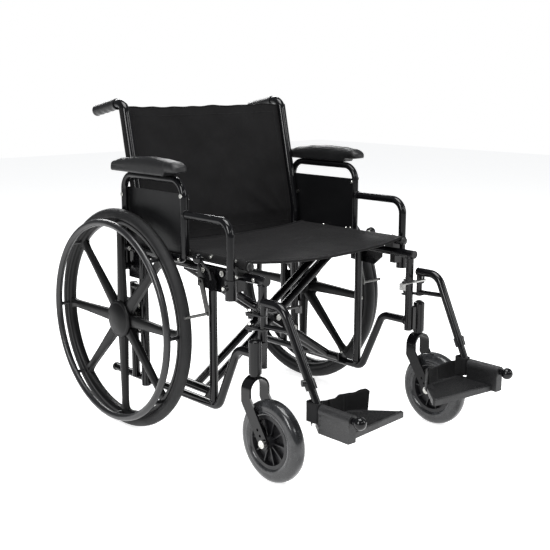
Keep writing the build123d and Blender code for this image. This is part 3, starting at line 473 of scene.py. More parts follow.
def buildStitchTree():  # short threads end to end along an edge, with a little seeded unevenness
    tree, source, sink = newTree("stitches", [
        ("Pitch", "Float", 0.004), ("Thickness", "Float", 0.0004),
        ("Stitch Length", "Float", 0.0028), ("Seed", "Int", 3),
        ("Finish", "Material", None)])
    toCurve = makeNode(tree, "GeometryNodeMeshToCurve")
    sample = makeNode(tree, "GeometryNodeResampleCurve", mode="LENGTH")
    toPoints = makeNode(tree, "GeometryNodeCurveToPoints", mode="EVALUATED")
    thread = makeNode(tree, "GeometryNodeMeshCylinder", Vertices=5)
    wire(source, "Thickness", thread, "Radius")
    wire(source, "Stitch Length", thread, "Depth")
    sway = makeNode(tree, "FunctionNodeRandomValue", data_type="FLOAT_VECTOR")
    fill(sway, {"Min": (0.9, 0.9, 0.85), "Max": (1.1, 1.1, 1.05)})
    wire(source, "Seed", sway, "Seed")
    place = makeNode(tree, "GeometryNodeInstanceOnPoints")
    wire(source, "Geometry", toCurve, "Mesh")
    wire(toCurve, "Curve", sample, "Curve")
    wire(source, "Pitch", sample, "Length")
    wire(sample, "Curve", toPoints, "Curve")
    align = makeNode(tree, "FunctionNodeAlignRotationToVector", axis="Z")
    wire(toPoints, "Tangent", align, "Vector")
    wire(toPoints, "Points", place, "Points")
    wire(thread, "Mesh", place, "Instance")
    wire(align, "Rotation", place, "Rotation")
    wire(sway, "Value", place, "Scale")
    finishTree(tree, source, sink, place.outputs[0])
    return tree


def buildTreadTree():  # low ribs side by side along each given line of points
    tree, source, sink = newTree("treadRibs", [
        ("Rib Length", "Float", 0.1), ("Rib Width", "Float", 0.003),
        ("Rib Height", "Float", 0.0016), ("Finish", "Material", None)])
    size = makeNode(tree, "ShaderNodeCombineXYZ")
    reach = makeNode(tree, "GeometryNodeInputNamedAttribute", data_type="FLOAT")
    fill(reach, {"Name": "reach"})
    wire(source, "Rib Width", size, "X")
    wire(source, "Rib Length", size, "Y")
    wire(source, "Rib Height", size, "Z")
    rib = makeNode(tree, "GeometryNodeMeshCube")
    wire(size, 0, rib, "Size")
    stretch = makeNode(tree, "ShaderNodeCombineXYZ", X=1.0, Z=1.0)
    wire(reach, "Attribute", stretch, "Y")
    toPoints = makeNode(tree, "GeometryNodeMeshToPoints")
    place = makeNode(tree, "GeometryNodeInstanceOnPoints")
    wire(source, "Geometry", toPoints, "Mesh")
    wire(toPoints, "Points", place, "Points")
    wire(rib, "Mesh", place, "Instance")
    wire(stretch, 0, place, "Scale")
    finishTree(tree, source, sink, place.outputs[0])
    return tree


screwTree = buildScrewTree()
stitchTree = buildStitchTree()
treadTree = buildTreadTree()


def growNodes(name, points, edges, tree, values, attributes=()):
    mesh = bpy.data.meshes.new(name)
    mesh.from_pydata([tuple(p) for p in points], edges, [])
    for label, kind, data in attributes:
        layer = mesh.attributes.new(label, kind, "POINT")
        field = "vector" if kind == "FLOAT_VECTOR" else "value"
        flat = [c for v in data for c in v] if kind == "FLOAT_VECTOR" else list(data)
        layer.data.foreach_set(field, flat)
    piece = bpy.data.objects.new(name, mesh)
    bpy.context.scene.collection.objects.link(piece)
    modifier = piece.modifiers.new("grow", "NODES")
    modifier.node_group = tree
    for item in tree.interface.items_tree:
        if item.in_out == "INPUT" and item.name in values:
            modifier[item.identifier] = values[item.name]
    applyModifiers(piece)
    return piece


def makeScrews(name, body, spots, radius, height, finish="zinc", sidesCount=16, washer=1.35):
    piece = growNodes(name, [spot for spot, facing in spots], [], screwTree,
                      {"Head Radius": radius, "Head Height": height, "Washer Radius": radius * washer,
                       "Sides": sidesCount, "Finish": finishes[finish]},
                      [("facing", "FLOAT_VECTOR", [facing for spot, facing in spots])])
    dress(piece, body)
    return piece


def makeStitches(name, path, pitch=0.0042):
    edges = [(i, i + 1) for i in range(len(path) - 1)]
    return growNodes(name, path, edges, stitchTree,
                     {"Pitch": pitch, "Thickness": 0.00045, "Stitch Length": pitch * 0.66, "Seed": 7,
                      "Finish": finishes["thread"]})


print("geometry node trees built")

wheelLook = {"rimOuter": 276.9, "rimInner": 262.4, "rimHalf": 13.8, "spokes": 8, "segments": 144,
             "capX": 356.05, "screwX": 330.4, "screwRing": 269.5}


def buildRearWheel(sideName, side):
    centre = at(side * chair["wheelX"], 0, chair["axleZ"])
    inner, outer, half = wheelLook["rimInner"], wheelLook["rimOuter"], wheelLook["rimHalf"]
    flange = [(half, outer), (half, outer - 6), (half - 1.5, outer - 8.5), (half - 4, inner + 2.5),
              (half - 7, inner + 0.4)]
    rimProfile = [(-x, r) for x, r in flange] + [(0, inner - 0.8), *reversed(flange),
                                                 (half * 0.6, outer), (-half * 0.6, outer)]
    rim = makeTurned("rim", centre, rimProfile, "wheel_black",
                     wheelLook["segments"], closed=True)
    hubProfile = [(-28.8, 9), (-28.8, 22), (-27, 25), (-16, 26.5), (-14, 30), (-11, 34), (8, 36), (10.5, 34),
                  (10.9, 9)]
    hub = makeTurned("hub", centre, [(side * x, r) for x, r in hubProfile], "wheel_black", 64,
                     closed=True)
    points, faces = [], []
    stations = [(24, 20, 9.5, 10.6), (36, 18, 9.5, 10.6), (60, 15.6, 8.6, 10.4), (120, 13.6, 7.8, 9.8),
                (190, 11.6, 7.0, 9.0), (236, 11.0, 6.6, 8.6), (252, 12.6, 6.8, 8.4), (261, 16.5, 7.4, 8.0),
                (266, 21, 8.0, 8.2)]  # radius, half width, half depth of the flanks and of the ridge
    for k in range(wheelLook["spokes"]):
        turn = 2 * pi * k / wheelLook["spokes"]
        outward = Vector((0, cos(turn), sin(turn)))
        across = Vector((0, -sin(turn), cos(turn)))
        first = len(points)
        for radius, width, flank, ridge in stations:
            corner = [(width, flank * 0.7), (width * 0.78, flank), (width * 0.3, ridge)]
            ring = [(-width, -flank * 0.7), *[(-w, d) for w, d in corner], *reversed(corner),
                    *[(w, -d) for w, d in corner], *[(-w, -d) for w, d in reversed(corner[1:])]]
            for w, d in ring:
                sideways = Vector((side * d / 1000, 0, 0))
                points.append(centre + outward * radius / 1000 + across * w / 1000 + sideways)
        faces += [tuple(first + n for n in face) for face in gridFaces(len(stations), 12, closedColumns=True)]
        faces.append(tuple(first + n for n in range(12)))
        faces.append(tuple(first + (len(stations) - 1) * 12 + n for n in reversed(range(12))))
    spokes = makePiece("spokes", points, faces, "wheel_black")
    wheel = joinInto(f"spokedWheel_{sideName}", [rim, hub, spokes])
    smoothByAngle(wheel, 38)
    dress(wheel, f"wheel_{sideName}", f"rear_wheel_{sideName}")
    capProfile = [(0.1, 0.1), (0.1, 51.5), (2.2, 51.9), (4.6, 51.2), (6.4, 48.5), (7.4, 46), (7.2, 44.4),
                  (8.2, 43), (11.2, 36), (13.8, 28), (15.6, 20), (16.6, 12), (16.9, 5), (16.9, 0.1)]
    cap = makeTurned(f"hubDome_{sideName}", at(side * wheelLook["capX"], 0, chair["axleZ"]),
                     [(side * x, r) for x, r in capProfile], "wheel_black", 96)
    smoothByAngle(cap, 50)
    dress(cap, f"wheel_{sideName}", f"hub_cap_{sideName}")
    spots = []
    for k in range(wheelLook["spokes"]):
        turn = 2 * pi * k / wheelLook["spokes"]
        spot = at(side * wheelLook["screwX"], wheelLook["screwRing"] * cos(turn),
                  chair["axleZ"] + wheelLook["screwRing"] * sin(turn))
        spots.append((spot, Vector((-side, 0, 0))))
    makeScrews(f"rimScrews_{sideName}", f"wheel_{sideName}", spots, 0.0038, 0.0022)


tyreLook = {"middle": 289, "halfWidth": 16, "height": 15.9, "flank": 15.9, "seatHalf": 15.2,
            "seatRadius": 277.1, "grooves": 0.35, "shoulder": 0.9, "steps": 28, "segments": 180}


def buildRearTyre(sideName, side):
    centre = at(side * chair["wheelX"], 0, chair["axleZ"])
    profile = []
    steps, flank = tyreLook["steps"], tyreLook["flank"]
    start = -0.22 * pi
    for i in range(steps + 1):
        turn = start + (pi - 2 * start) * i / steps
        x = -tyreLook["halfWidth"] * cos(turn)
        r = tyreLook["middle"] + tyreLook["height"] * sin(turn)
        if 0.3 * pi < turn < 0.7 * pi:
            r -= tyreLook["grooves"] * (1 + cos(18 * turn)) * 0.5  # fine running grooves
        if abs(abs(turn - pi / 2) - 0.27 * pi) < 0.03 * pi:
            r -= tyreLook["shoulder"]  # the groove along each shoulder
        profile.append((max(-flank, min(flank, x)), r))
    profile += [(end * tyreLook["seatHalf"] * 0.8, tyreLook["seatRadius"]) for end in (1, -1)]
    tyre = makeTurned(f"solidTyre_{sideName}", centre, profile, "tyre_black",
                      tyreLook["segments"], closed=True)
    smoothByAngle(tyre, 40)
    dress(tyre, f"wheel_{sideName}", f"rear_tyre_{sideName}")


forBothSides("rear wheels built", buildRearWheel, buildRearTyre)

casterLook = {"x": 305, "ahead": 578, "height": 101.6, "radius": 101.5, "width": 39.6, "inner": 66.7,
              "segments": 120, "nutOut": 37.3,
              "half": ((0.8, 0), (0.93, 3), (1, 8), (1, 11), (0.96, 12.5), (0.97, 14), (0.94, 21), (0.82, 28),
                       (0.6, 32.6), (0.3, 34.6))}  # share of the half width, rise over the inner radius


def buildCaster(sideName, side):
    centre = at(side * casterLook["x"], casterLook["ahead"], casterLook["height"])
    half, inner = casterLook["width"] / 2, casterLook["inner"]
    profile = [(-half * share, inner + rise) for share, rise in casterLook["half"]]
    profile.append((0, casterLook["radius"]))
    profile += [(half * share, inner + rise) for share, rise in reversed(casterLook["half"])]
    tyre = makeTurned(f"casterTread_{sideName}", centre, profile, "caster_grey",
                      casterLook["segments"], closed=True)
    smoothByAngle(tyre, 40)
    dress(tyre, f"caster_{sideName}", f"caster_tyre_{sideName}")
    ahead, height = casterLook["ahead"], casterLook["height"]
    spots = [(at(side * casterLook["x"] + face * casterLook["nutOut"], ahead, height), Vector((face, 0, 0)))
             for face in (-1, 1)]
    makeScrews(f"casterNuts_{sideName}", f"fork_{sideName}", spots, 0.0078, 0.0045, sidesCount=6, washer=1.28)


forBothSides("casters built", buildCaster)

gripLook = {"endAhead": -188, "endZ": 866, "radius": 15.3, "bore": 12.85, "length": 104, "fingers": 4,
            "rings": 60, "around": 40}


def caneAheadAt(z):
    bend = chair["caneBend"]
    lean = radians(chair["caneLean"])
    return chair["caneAhead"] - max(0.0, z - bend) * sin(lean) / cos(lean)


def buildGrip(sideName, side):
    corner = at(side * chair["caneX"], caneAheadAt(chair["caneTop"]), chair["caneTop"])
    end = at(side * chair["caneX"], gripLook["endAhead"], gripLook["endZ"])
    along = (end - corner).normalized()
    start = end - along * gripLook["length"] / 1000
    total = gripLook["length"] / 1000 + 0.0048
    across = Vector((1, 0, 0))
    lift = along.cross(across).normalized()
    if lift.z < 0:
        lift = -lift
    points = []
    rings, around = gripLook["rings"], gripLook["around"]
    for i in range(rings):
        share = i / (rings - 1)
        collar = max(0.0, 1 - share / 0.07)
        heel = max(0.0, (share - 0.9) / 0.1)
        for k in range(around):
            turn = 2 * pi * k / around
            under = max(0.0, -sin(turn)) ** 1.5
            groove = 0.5 * (1 + cos(2 * pi * (share * gripLook["fingers"] + 0.5)))
            radius = gripLook["radius"] - 1.5 * under * groove * (1 - collar) * (1 - heel)
            radius -= 0.35 * (0.5 + 0.5 * cos(share * 2 * pi * 20)) * (1 - under)
            radius += 0.6 * collar + 0.5 * heel
            if share > 0.97:
                radius *= sqrt(max(0.0, 1 - ((share - 0.97) / 0.03) ** 2 * 0.35))
            p = start + along * total * share
            points.append(p + across * cos(turn) * radius / 1000 + lift * sin(turn) * radius / 1000)
    faces = gridFaces(rings, around, closedColumns=True)
    innerStart = len(points)
    for i in (0, 1):
        for k in range(around):
            turn = 2 * pi * k / around
            points.append(start + along * (0.0 if i == 0 else 0.06)
                          + (across * cos(turn) + lift * sin(turn)) * gripLook["bore"] / 1000)
    faces += [tuple(innerStart + n for n in face) for face in gridFaces(2, around, closedColumns=True)]
    for k in range(around):
        faces.append((k, innerStart + k, innerStart + (k + 1) % around, (k + 1) % around))
    faces.append(tuple(innerStart + around + k for k in range(around)))
    faces.append(tuple((rings - 1) * around + k for k in reversed(range(around))))
    grip = makePiece(f"pushGrip_{sideName}", points, faces, "grip_black")
    smoothByAngle(grip, 45)
    dress(grip, f"{sideName}_frame", f"hand_grip_{sideName}")


forBothSides("grips built", buildGrip)

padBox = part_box("arm_pad_right")
padLook = {"x": 326, "halfWidth": 23, "front": (chair["axleY"] - padBox[0][1]) * 1000,
           "rear": (chair["axleY"] - padBox[1][1]) * 1000, "base": 711.9, "rows": 110, "around": 72,
           "heights": ((-1.0, 27), (-0.7, 36), (-0.3, 42.5), (0.1, 44.6), (0.5, 43), (0.8, 38.5), (1.0, 31)),
           "overhang": 0.62, "step": 11.0, "seam": 15.0}


panelScrews = (("panelScrewsIn", 301.4, -1, ((-14, 646), (-10, 520), (248, 656), (246, 518)), 0.0022),
               ("panelScrewsOut", 325.0, 1, ((-18, 646), (12, 500), (250, 664), (236, 500)), 0.0026))


def stepEase(value):
    value = max(0.0, min(1.0, value))
    return value * value * (3 - 2 * value)


def tableAt(table, place):
    for (a, va), (b, vb) in zip(table, table[1:]):
        if place <= b:
            return va + (vb - va) * stepEase((place - a) / (b - a)) if b > a else vb
    return table[-1][1]


def padSection(share, around):  # (x, z) round the pad at -1 rear to 1 front
    top = tableAt(padLook["heights"], share)
    low = padLook["step"] * stepEase((share - padLook["overhang"]) / 0.05)
    nose = sqrt(max(0.0, 1 - max(0.0, (share - 0.86) / 0.14) ** 2.4)) if share > 0.86 else 1.0
    tail = sqrt(max(0.0, 1 - max(0.0, (-0.97 - share) / 0.03) ** 2.0)) if share < -0.97 else 1.0
    wide = padLook["halfWidth"] * (0.22 + 0.78 * nose) * (0.86 + 0.14 * tail)
    middle = low + (top - low) * 0.42
    rise = (top - middle) * (0.35 + 0.65 * nose) * (0.9 + 0.1 * tail)
    drop = (middle - low) * (0.45 + 0.55 * nose)
    section = []
    for k in range(around):
        turn = 2 * pi * k / around
        c, s = cos(turn), sin(turn)
        w = abs(c) ** (0.62 if s > 0 else 0.16) * (1 if c >= 0 else -1)
        h = abs(s) ** (0.86 if s > 0 else 0.3) * (1 if s >= 0 else -1)
        z = middle + (rise * h if h > 0 else drop * h)
        x = w * wide
        x *= 1 - 0.05 * max(0.0, 1 - abs(z - padLook["seam"]) / 1.6)  # drawn in along the seam
        if s < -0.1 and z < 3.5 + low:
            x *= 0.965
        section.append((x, max(0.0, z)))
    return section


def buildArmPad(sideName, side):
    rows, around = padLook["rows"], padLook["around"]
    length = padLook["front"] - padLook["rear"]
    points = []
    for i in range(rows):
        share = sin((-1 + 2 * i / (rows - 1)) * pi / 2)  # closer rows near the ends
        ahead = (padLook["front"] + padLook["rear"]) / 2 + share * length / 2
        for x, z in padSection(share, around):
            dimple = 0.5 * rough(ahead / 42, z / 26, side * 3 + x / 60) if z > 6 else 0.0
            points.append(at(side * (padLook["x"] + x), ahead, padLook["base"] + max(0.0, z + dimple)))
    faces = gridFaces(rows, around, closedColumns=True)
    faces.append(tuple(range(around)))
    faces.append(tuple((rows - 1) * around + k for k in reversed(range(around))))
    pad = makePiece(f"armCushion_{sideName}", points, faces, "vinyl_black")
    dress(pad, f"armrest_{sideName}", f"arm_pad_{sideName}")
    for label, x, way, spots, height in panelScrews:
        makeScrews(f"{label}_{sideName}", f"armrest_{sideName}",
                   [(at(side * x, a, z), Vector((way * side, 0, 0))) for a, z in spots], 0.0042, height)


forBothSides("arm pads built", buildArmPad)

seatLook = {"railX": 283, "railZ": 509, "front": 468, "rear": 52, "sag": 15, "frontSag": 21, "wrap": 12.3,
            "across": 120, "along": 70, "thickness": 2.0, "fold": 1.6, "screwReach": 13.0, "screwLean": 48,
            "plug": ((-3, 0.1), (-3, 11.2), (0, 11.4), (3, 9.8), (4.5, 6), (5, 0.1))}


def seatProfile(count, sag):
    railX, railZ, wrap = seatLook["railX"], seatLook["railZ"], seatLook["wrap"]
    outline = []
    for i in range(12):  # round the outside of the rail, from low outside up to the top
        turn = radians(205 - 108 * i / 11)
        outline.append((-railX + wrap * cos(turn), railZ + wrap * sin(turn)))
    topX, topZ = outline[-1]
    outline = outline[:-1]
    middle = count - 24
    for i in range(middle):
        share = i / (middle - 1)
        x = topX + (-2 * topX) * share
        dip = 1 - (2 * share - 1) ** 2
        z = topZ - sag * dip ** 0.85
        outline.append((x, z))
    left = [(-x, z) for x, z in reversed(outline[:11])]
    return outline + left


def buildSeat():
    along = seatLook["along"]
    across = len(seatProfile(seatLook["across"], seatLook["sag"]))
    points = []
    for j in range(along):
        share = j / (along - 1)
        ahead = seatLook["rear"] + (seatLook["front"] - seatLook["rear"]) * share
        sag = seatLook["sag"] + (seatLook["frontSag"] - seatLook["sag"]) * share ** 2
        profile = seatProfile(seatLook["across"], sag)
        for i, (x, z) in enumerate(profile):
            inside = max(0.0, 1 - (abs(x) / 272) ** 6)
            ripple = seatLook["fold"] * rough(x / 95, ahead / 210, 1.7)
            ripple += 0.8 * rough(x / 38, ahead / 70, 4.2)
            pull = 1.1 * sin(ahead / 14.5 + 2 * rough(ahead / 60, 0, 9)) * max(0, (abs(x) - 205) / 70) ** 1.5
            points.append(at(x, ahead, z + inside * (ripple + min(1.0, pull))))
    seat = makePiece("seatCloth", points, gridFaces(along, across), "nylon_black")
    writeUv(seat, lambda p: (p.x + 0.3, p.y + 0.6))
    if sum(face.normal.z for face in seat.data.polygons) <= 0:
        seat.data.flip_normals()
    thicken(seat, seatLook["thickness"], -1.0)
    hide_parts("seat_sling")
    start, end = at(-230, 250, 509), at(230, 250, 509)
    extras = []
    for label, j in (("Front", along - 1), ("Rear", 0)):
        edge = [points[j * across + i] for i in range(across)]
        sign = -1 if label == "Front" else 1
        hem = tubeMesh(f"seatHem{label}", [p + Vector((0, -sign * 0.0015, -0.0006)) for p in edge], 0.0034,
                       "nylon_black", 8)
        writeUv(hem, lambda p: (p.x + 0.3, p.y + 0.6))
        stitchPath = [points[(j + sign * 5) * across + i] + Vector((0, 0, 0.0003))
                      for i in range(14, across - 14)]
        stitches = makeStitches(f"seatStitches{label}", stitchPath)
        extras += [hem, stitches]
    for sideName, side in sides:
        line = [at(side * 262, a, 0) for a in range(60, 462, 6)]
        path = []
        for p in line:
            ahead = (chair["axleY"] - p.y) * 1000
            share = (ahead - seatLook["rear"]) / (seatLook["front"] - seatLook["rear"])
            j = min(along - 1, max(0, round(share * (along - 1))))
            row = points[j * across:(j + 1) * across]
            near = min(row, key=lambda q: abs(q.x - p.x) + (0.1 if q.z < 0.5 else 0))
            path.append(Vector((p.x, p.y, near.z + 0.0004)))
        extras.append(makeStitches(f"seatSeam_{sideName}", path))
    for piece in [seat, *extras]:
        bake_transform(piece)
    railX, railZ = seatLook["railX"], seatLook["railZ"]
    reach, lean = seatLook["screwReach"], radians(seatLook["screwLean"])
    for sideName, side in sides:
        body = "brace_b" if sideName == "right" else "brace_a"
        spots = [(at(side * (railX + reach * sin(lean)), a, railZ + reach * cos(lean)),
                  Vector((side * sin(lean), 0, cos(lean)))) for a in (143, 237, 331, 425)]
        makeScrews(f"seatScrews_{sideName}", body, spots, 0.0046, 0.0024)
        ends = []
        for a, sign in ((471.5, -1), (48.5, 1)):
            end = makeTurned("railEnd", Vector((0, 0, 0)), seatLook["plug"],
                             "plug_black", 32)
            spin = Matrix.Rotation(sign * pi / 2, 4, "Z")
            end.data.transform(Matrix.Translation(at(side * railX, a, railZ)) @ spin)
            ends.append(end)
        plug = joinInto(f"railEnds_{sideName}", ends)
        dress(plug, body)


buildSeat()
print("seat built")

backLook = {"low": 502, "high": 877, "wrap": 13.3, "loose": 4.0, "belly": 12, "thickness": 1.6,
            "rows": 84, "middle": 110, "around": 24, "joinAt": 336, "foldedHalf": 100.2}


def cornerCrease(x, z):  # pulls running up and in from each lower corner
    total = 0.0
    for turn, size, reach in ((38, 9.0, 250), (58, 6.5, 220), (20, 5.5, 230)):
        along = (273 - abs(x)) * cos(radians(turn)) + (z - 505) * sin(radians(turn))
        off = -(273 - abs(x)) * sin(radians(turn)) + (z - 505) * cos(radians(turn))
        if 0 < along < reach:
            width = 7 + along * 0.09
            total += size * sin(pi * along / reach) * (1 / (1 + (off / width) ** 2))
    return total


def buildBack():
    rows, middle, around = backLook["rows"], backLook["middle"], backLook["around"]
    wrap, caneX = backLook["wrap"], chair["caneX"]
    heights = [backLook["low"] + (backLook["high"] - backLook["low"]) * j / (rows - 1) for j in range(rows)]
    join = radians(backLook["joinAt"])
    joinX, joinA = -caneX + wrap * cos(join), wrap * sin(join)
    points = []
    for j, z in enumerate(heights):
        share = j / (rows - 1)
        base = caneAheadAt(z)
        for i in range(middle):
            across = i / (middle - 1)
            x = joinX - 2 * joinX * across
            weight = sin(pi * across)
            belly = backLook["belly"] * weight ** 0.7 * (0.55 + 0.45 * sin(pi * min(1.0, share * 0.9)))
            folds = 5.5 * rough(x / 125, z / 90, 2.2) + 2.2 * rough(x / 48, z / 60, 7)
            folds += 0.5 * rough(x / 15, z / 19, 3.3)
            lengthwise = 1.8 * sin(x / 25 + 2.2 * rough(x / 90, z / 200, 5)) * (2 * share - 1) ** 2
            crease = cornerCrease(x, z) * min(1.0, weight * 6)
            topDip = 0.0
            if share > 0.8:
                topDip = ((share - 0.8) / 0.2) ** 2 * (6.5 * rough(x / 60, 0, 3) - 3.0 * weight)
            ahead = base + joinA - belly + weight ** 0.5 * (folds + lengthwise) + crease * 0.8 - 1.5 * weight
            points.append(at(x, ahead, z + min(topDip, 2.5)))
    back = makePiece("backCloth", points, gridFaces(rows, middle), "nylon_black")
    writeUv(back, lambda p: (p.x + 0.3, p.z))
    thicken(back, backLook["thickness"])
    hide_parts("back_sling")
    extras = []
    for label, j, lift in (("Top", rows - 1, 0.0008), ("Low", 0, -0.0008)):
        edge = [points[j * middle + i] + Vector((0, 0, lift)) for i in range(middle)]
        hem = tubeMesh(f"backHem{label}", edge, 0.002, "nylon_black", 8)
        writeUv(hem, lambda p: (p.x + 0.3, p.z))
        extras.append(hem)
        k = j - 5 if label == "Top" else j + 5
        path = [points[k * middle + i] + Vector((0, -0.0011, 0)) for i in range(2, middle - 2)]
        extras.append(makeStitches(f"backStitches{label}", path))
    for label, i in (("right", 3), ("left", middle - 4)):
        path = [points[j * middle + i] + Vector((0, -0.0011, 0)) for j in range(2, rows - 2)]
        extras.append(makeStitches(f"backSeam_{label}", path))
    for piece in [back, *extras]:
        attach(piece, "right_frame")
        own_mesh(piece)
    for sideName, side in sides:  # the pockets that hold the cloth to the canes
        curl = []
        for j, z in enumerate(heights):
            base = caneAheadAt(z)
            for i in range(around):
                turn = radians(158 + (backLook["joinAt"] + 6 - 158) * i / (around - 1))
                fat = 0.5 * rough(i / 5, z / 40, side)
                if radians(185) < turn < radians(325):
                    fat += backLook["loose"] * max(0.0, sin((turn - radians(185)) / radians(140) * pi))
                reach = wrap + 0.3 + max(0.0, fat)
                curl.append(at(side * (caneX - reach * cos(turn)), base + reach * sin(turn), z))
        pocket = makePiece(f"backPocket_{sideName}", curl, gridFaces(rows, around), "nylon_black")
        writeUv(pocket, lambda p: (p.x + p.y + 0.3, p.z))
        thicken(pocket, 1.3)
        path = [curl[j * around + 2] + Vector((side * 0.0009, 0, 0)) for j in range(2, rows - 2)]
        seam = makeStitches(f"pocketSeam_{sideName}", path)
        for piece in (pocket, seam):
            dress(piece, f"{sideName}_frame")
        extras += [pocket, seam]


buildBack()
print("back built")

strapLook = {"width": 47, "low": 164.5, "bandLow": 176, "bandHigh": 223, "bandHalf": 11.6, "bandFront": 712.6,
             "bandRear": 673, "thickness": 1.9, "steps": 60, "rows": 12,
             "topEdge": ((0, 0), (0.2, -1), (0.42, -8), (0.5, -9), (0.56, -2), (0.7, 0), (0.88, 11), (1, 6))}


def buildHeelLoop(sideName, side):
    stations = [(286, 690, 0), (276, 679, 1), (252, 670, 3), (222, 665, 5), (196, 664.5, 5), (170, 667, 3),
                (148, 675, 0), (130, 687, -3), (116, 702, -5), (111, 709, -5)]  # x, ahead, tilt at each bend
    steps, rows = strapLook["steps"], strapLook["rows"]
    points = []
    for j in range(steps):
        t = j / (steps - 1) * (len(stations) - 1)
        k = min(int(t), len(stations) - 2)
        f = t - k
        f = f * f * (3 - 2 * f) * 0.35 + f * 0.65
        a, b = stations[k], stations[k + 1]
        x, ahead, tilt = (a[n] + (b[n] - a[n]) * f for n in range(3))
        for i in range(rows):
            rise = i / (rows - 1)
            ripple = 1.3 * rough(x / 34, rise * 1.6, side * 2) * sin(pi * j / (steps - 1))
            peak = tableAt(strapLook["topEdge"], j / (steps - 1))
            points.append(at(side * x, ahead - tilt * (rise - 0.5) + ripple,
                             strapLook["low"] + rise * (strapLook["width"] + peak)))
    strap = makePiece(f"heelWebbing_{sideName}", points, gridFaces(steps, rows), "webbing_black")
    writeUv(strap, lambda p: (p.x * 3 + 1, p.z * 3))
    thicken(strap, strapLook["thickness"])
    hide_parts(f"heel_loop_{sideName}")
    seams = []
    for n, i in enumerate((1, rows - 2)):
        path = [points[j * rows + i] + Vector((0, -0.0012, 0)) for j in range(2, steps - 2)]
        seams.append(makeStitches(f"heelStitches{n}_{sideName}", path))
    outline = []  # the band sewn round the foot of the tube
    half, front, back = strapLook["bandHalf"], strapLook["bandFront"], strapLook["bandRear"]
    for k in range(36):
        turn = 2 * pi * k / 36
        reachX = half * cos(turn)
        middle = front - half if sin(turn) > 0 else back + half * 0.5
        outline.append((277.5 + reachX, middle + (half if sin(turn) > 0 else half * 0.5) * sin(turn)))
    bandPoints = []
    for i in range(rows):
        rise = i / (rows - 1)
        for k, (x, ahead) in enumerate(outline):
            ripple = 0.5 * rough(k / 4, rise * 2, side * 5)
            height = strapLook["bandLow"] + rise * (strapLook["bandHigh"] - strapLook["bandLow"])
            bandPoints.append(at(side * (x + ripple), ahead, height))
    band = makePiece(f"heelBand_{sideName}", bandPoints, gridFaces(rows, 36, closedColumns=True),
                     "webbing_black")
    writeUv(band, lambda p: ((p.x + p.y) * 3 + 1, p.z * 3))
    thicken(band, 1.4)
    dress(band, f"leg_{sideName}")
    patchPoints = []  # where the webbing laps over itself
    for j in range(24, 37):
        for i in range(rows):
            spread = 0.5 + (i / (rows - 1) - 0.5) * 1.06
            k = j * rows + i
            patchPoints.append(points[k] + Vector((0, -0.0024, (spread - i / (rows - 1)) * 0.04)))
    patch = makePiece(f"heelLap_{sideName}", patchPoints, gridFaces(13, rows), "webbing_black")
    writeUv(patch, lambda p: (p.x * 3 + 1, p.z * 3))
    thicken(patch, 1.8)
    seams.append(patch)
    for piece in [strap, *seams]:
        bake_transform(piece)


forBothSides("heel loops built", buildHeelLoop)

treadLook = {"pitch": 6.0, "width": 0.0026, "height": 0.0018, "top": 169.0, "lipZ": 169.6,
             "lip": ((284, 796), (200, 788), (120, 780), (64, 773.5), (63, 769))}


def plateSpan(x):  # how far the plate's top runs along the chair at a distance out from the middle
    front = 776 + (x - 60) / (288.6 - 60) * 24
    rear = 680 if x > 152 else 688 + (152 - x) * 0.93
    if x < 134:
        rear = 688 + (134 - x) / 74 * 80
    return rear + 9, front - 9


def buildTreads(sideName, side):
    points, reaches = [], []
    x = 68.0
    while x < 262:
        rear, front = plateSpan(x)
        if front - rear > 12:
            points.append(at(side * x, (rear + front) / 2, treadLook["top"] + 0.5))
            reaches.append((front - rear) / 100)
        x += treadLook["pitch"]
    treads = growNodes(f"footTreads_{sideName}", points, [], treadTree,
                       {"Rib Length": 0.1, "Rib Width": treadLook["width"], "Rib Height": treadLook["height"],
                        "Finish": finishes["plate_grey"]}, [("reach", "FLOAT", reaches)])
    dress(treads, f"foot_{sideName}")
    lipPath = [at(side * x, ahead, treadLook["lipZ"]) for x, ahead in treadLook["lip"]]
    lip = tubeMesh(f"footLip_{sideName}", lipPath, 0.0022, "plate_grey", 10)
    dress(lip, f"foot_{sideName}")
    spots = [(at(side * 288.9, 720.5, z), Vector((side, 0, 0))) for z in (164, 175, 186, 197)]
    makeScrews(f"plateStuds_{sideName}", f"foot_{sideName}", spots, 0.0016, 0.001,
               finish="plate_grey", sidesCount=8)


forBothSides("footplates dressed", buildTreads)

beadLook = {"size": 0.0017}


def weldBead(centre, direction, radius):  # a ring of slightly uneven weld round a tube
    direction = direction.normalized()
    helper = Vector((0, 0, 1)) if abs(direction.z) < 0.9 else Vector((1, 0, 0))
    a = direction.cross(helper).normalized()
    b = direction.cross(a)
    path = []
    for k in range(33):
        turn = 2 * pi * k / 32
        wobble = 1 + 0.03 * rough(k * 1.3, radius * 900, 2)
        path.append(centre + (a * cos(turn) + b * sin(turn)) * radius * wobble)
    return tubeMesh("bead", path, beadLook["size"], "frame_black", 8, capped=False)


boltGroups = (
    ("railScrews", ((283.0, 420, 478), (283.0, 482, 478), (299.4, 20, 610)), 0.0042, 0.0024, 16),
    ("lockBolts", ((291.4, 295, 478), (291.4, 371, 478)), 0.0056, 0.0036, 6),
    ("axlePlateBolts", [(304.8, ahead, z) for ahead in (20, -30) for z in (272, 338)], 0.0056, 0.0036, 6),
    ("armPivotBolt", ((327.6, -18, 450),), 0.0068, 0.0034, 6))


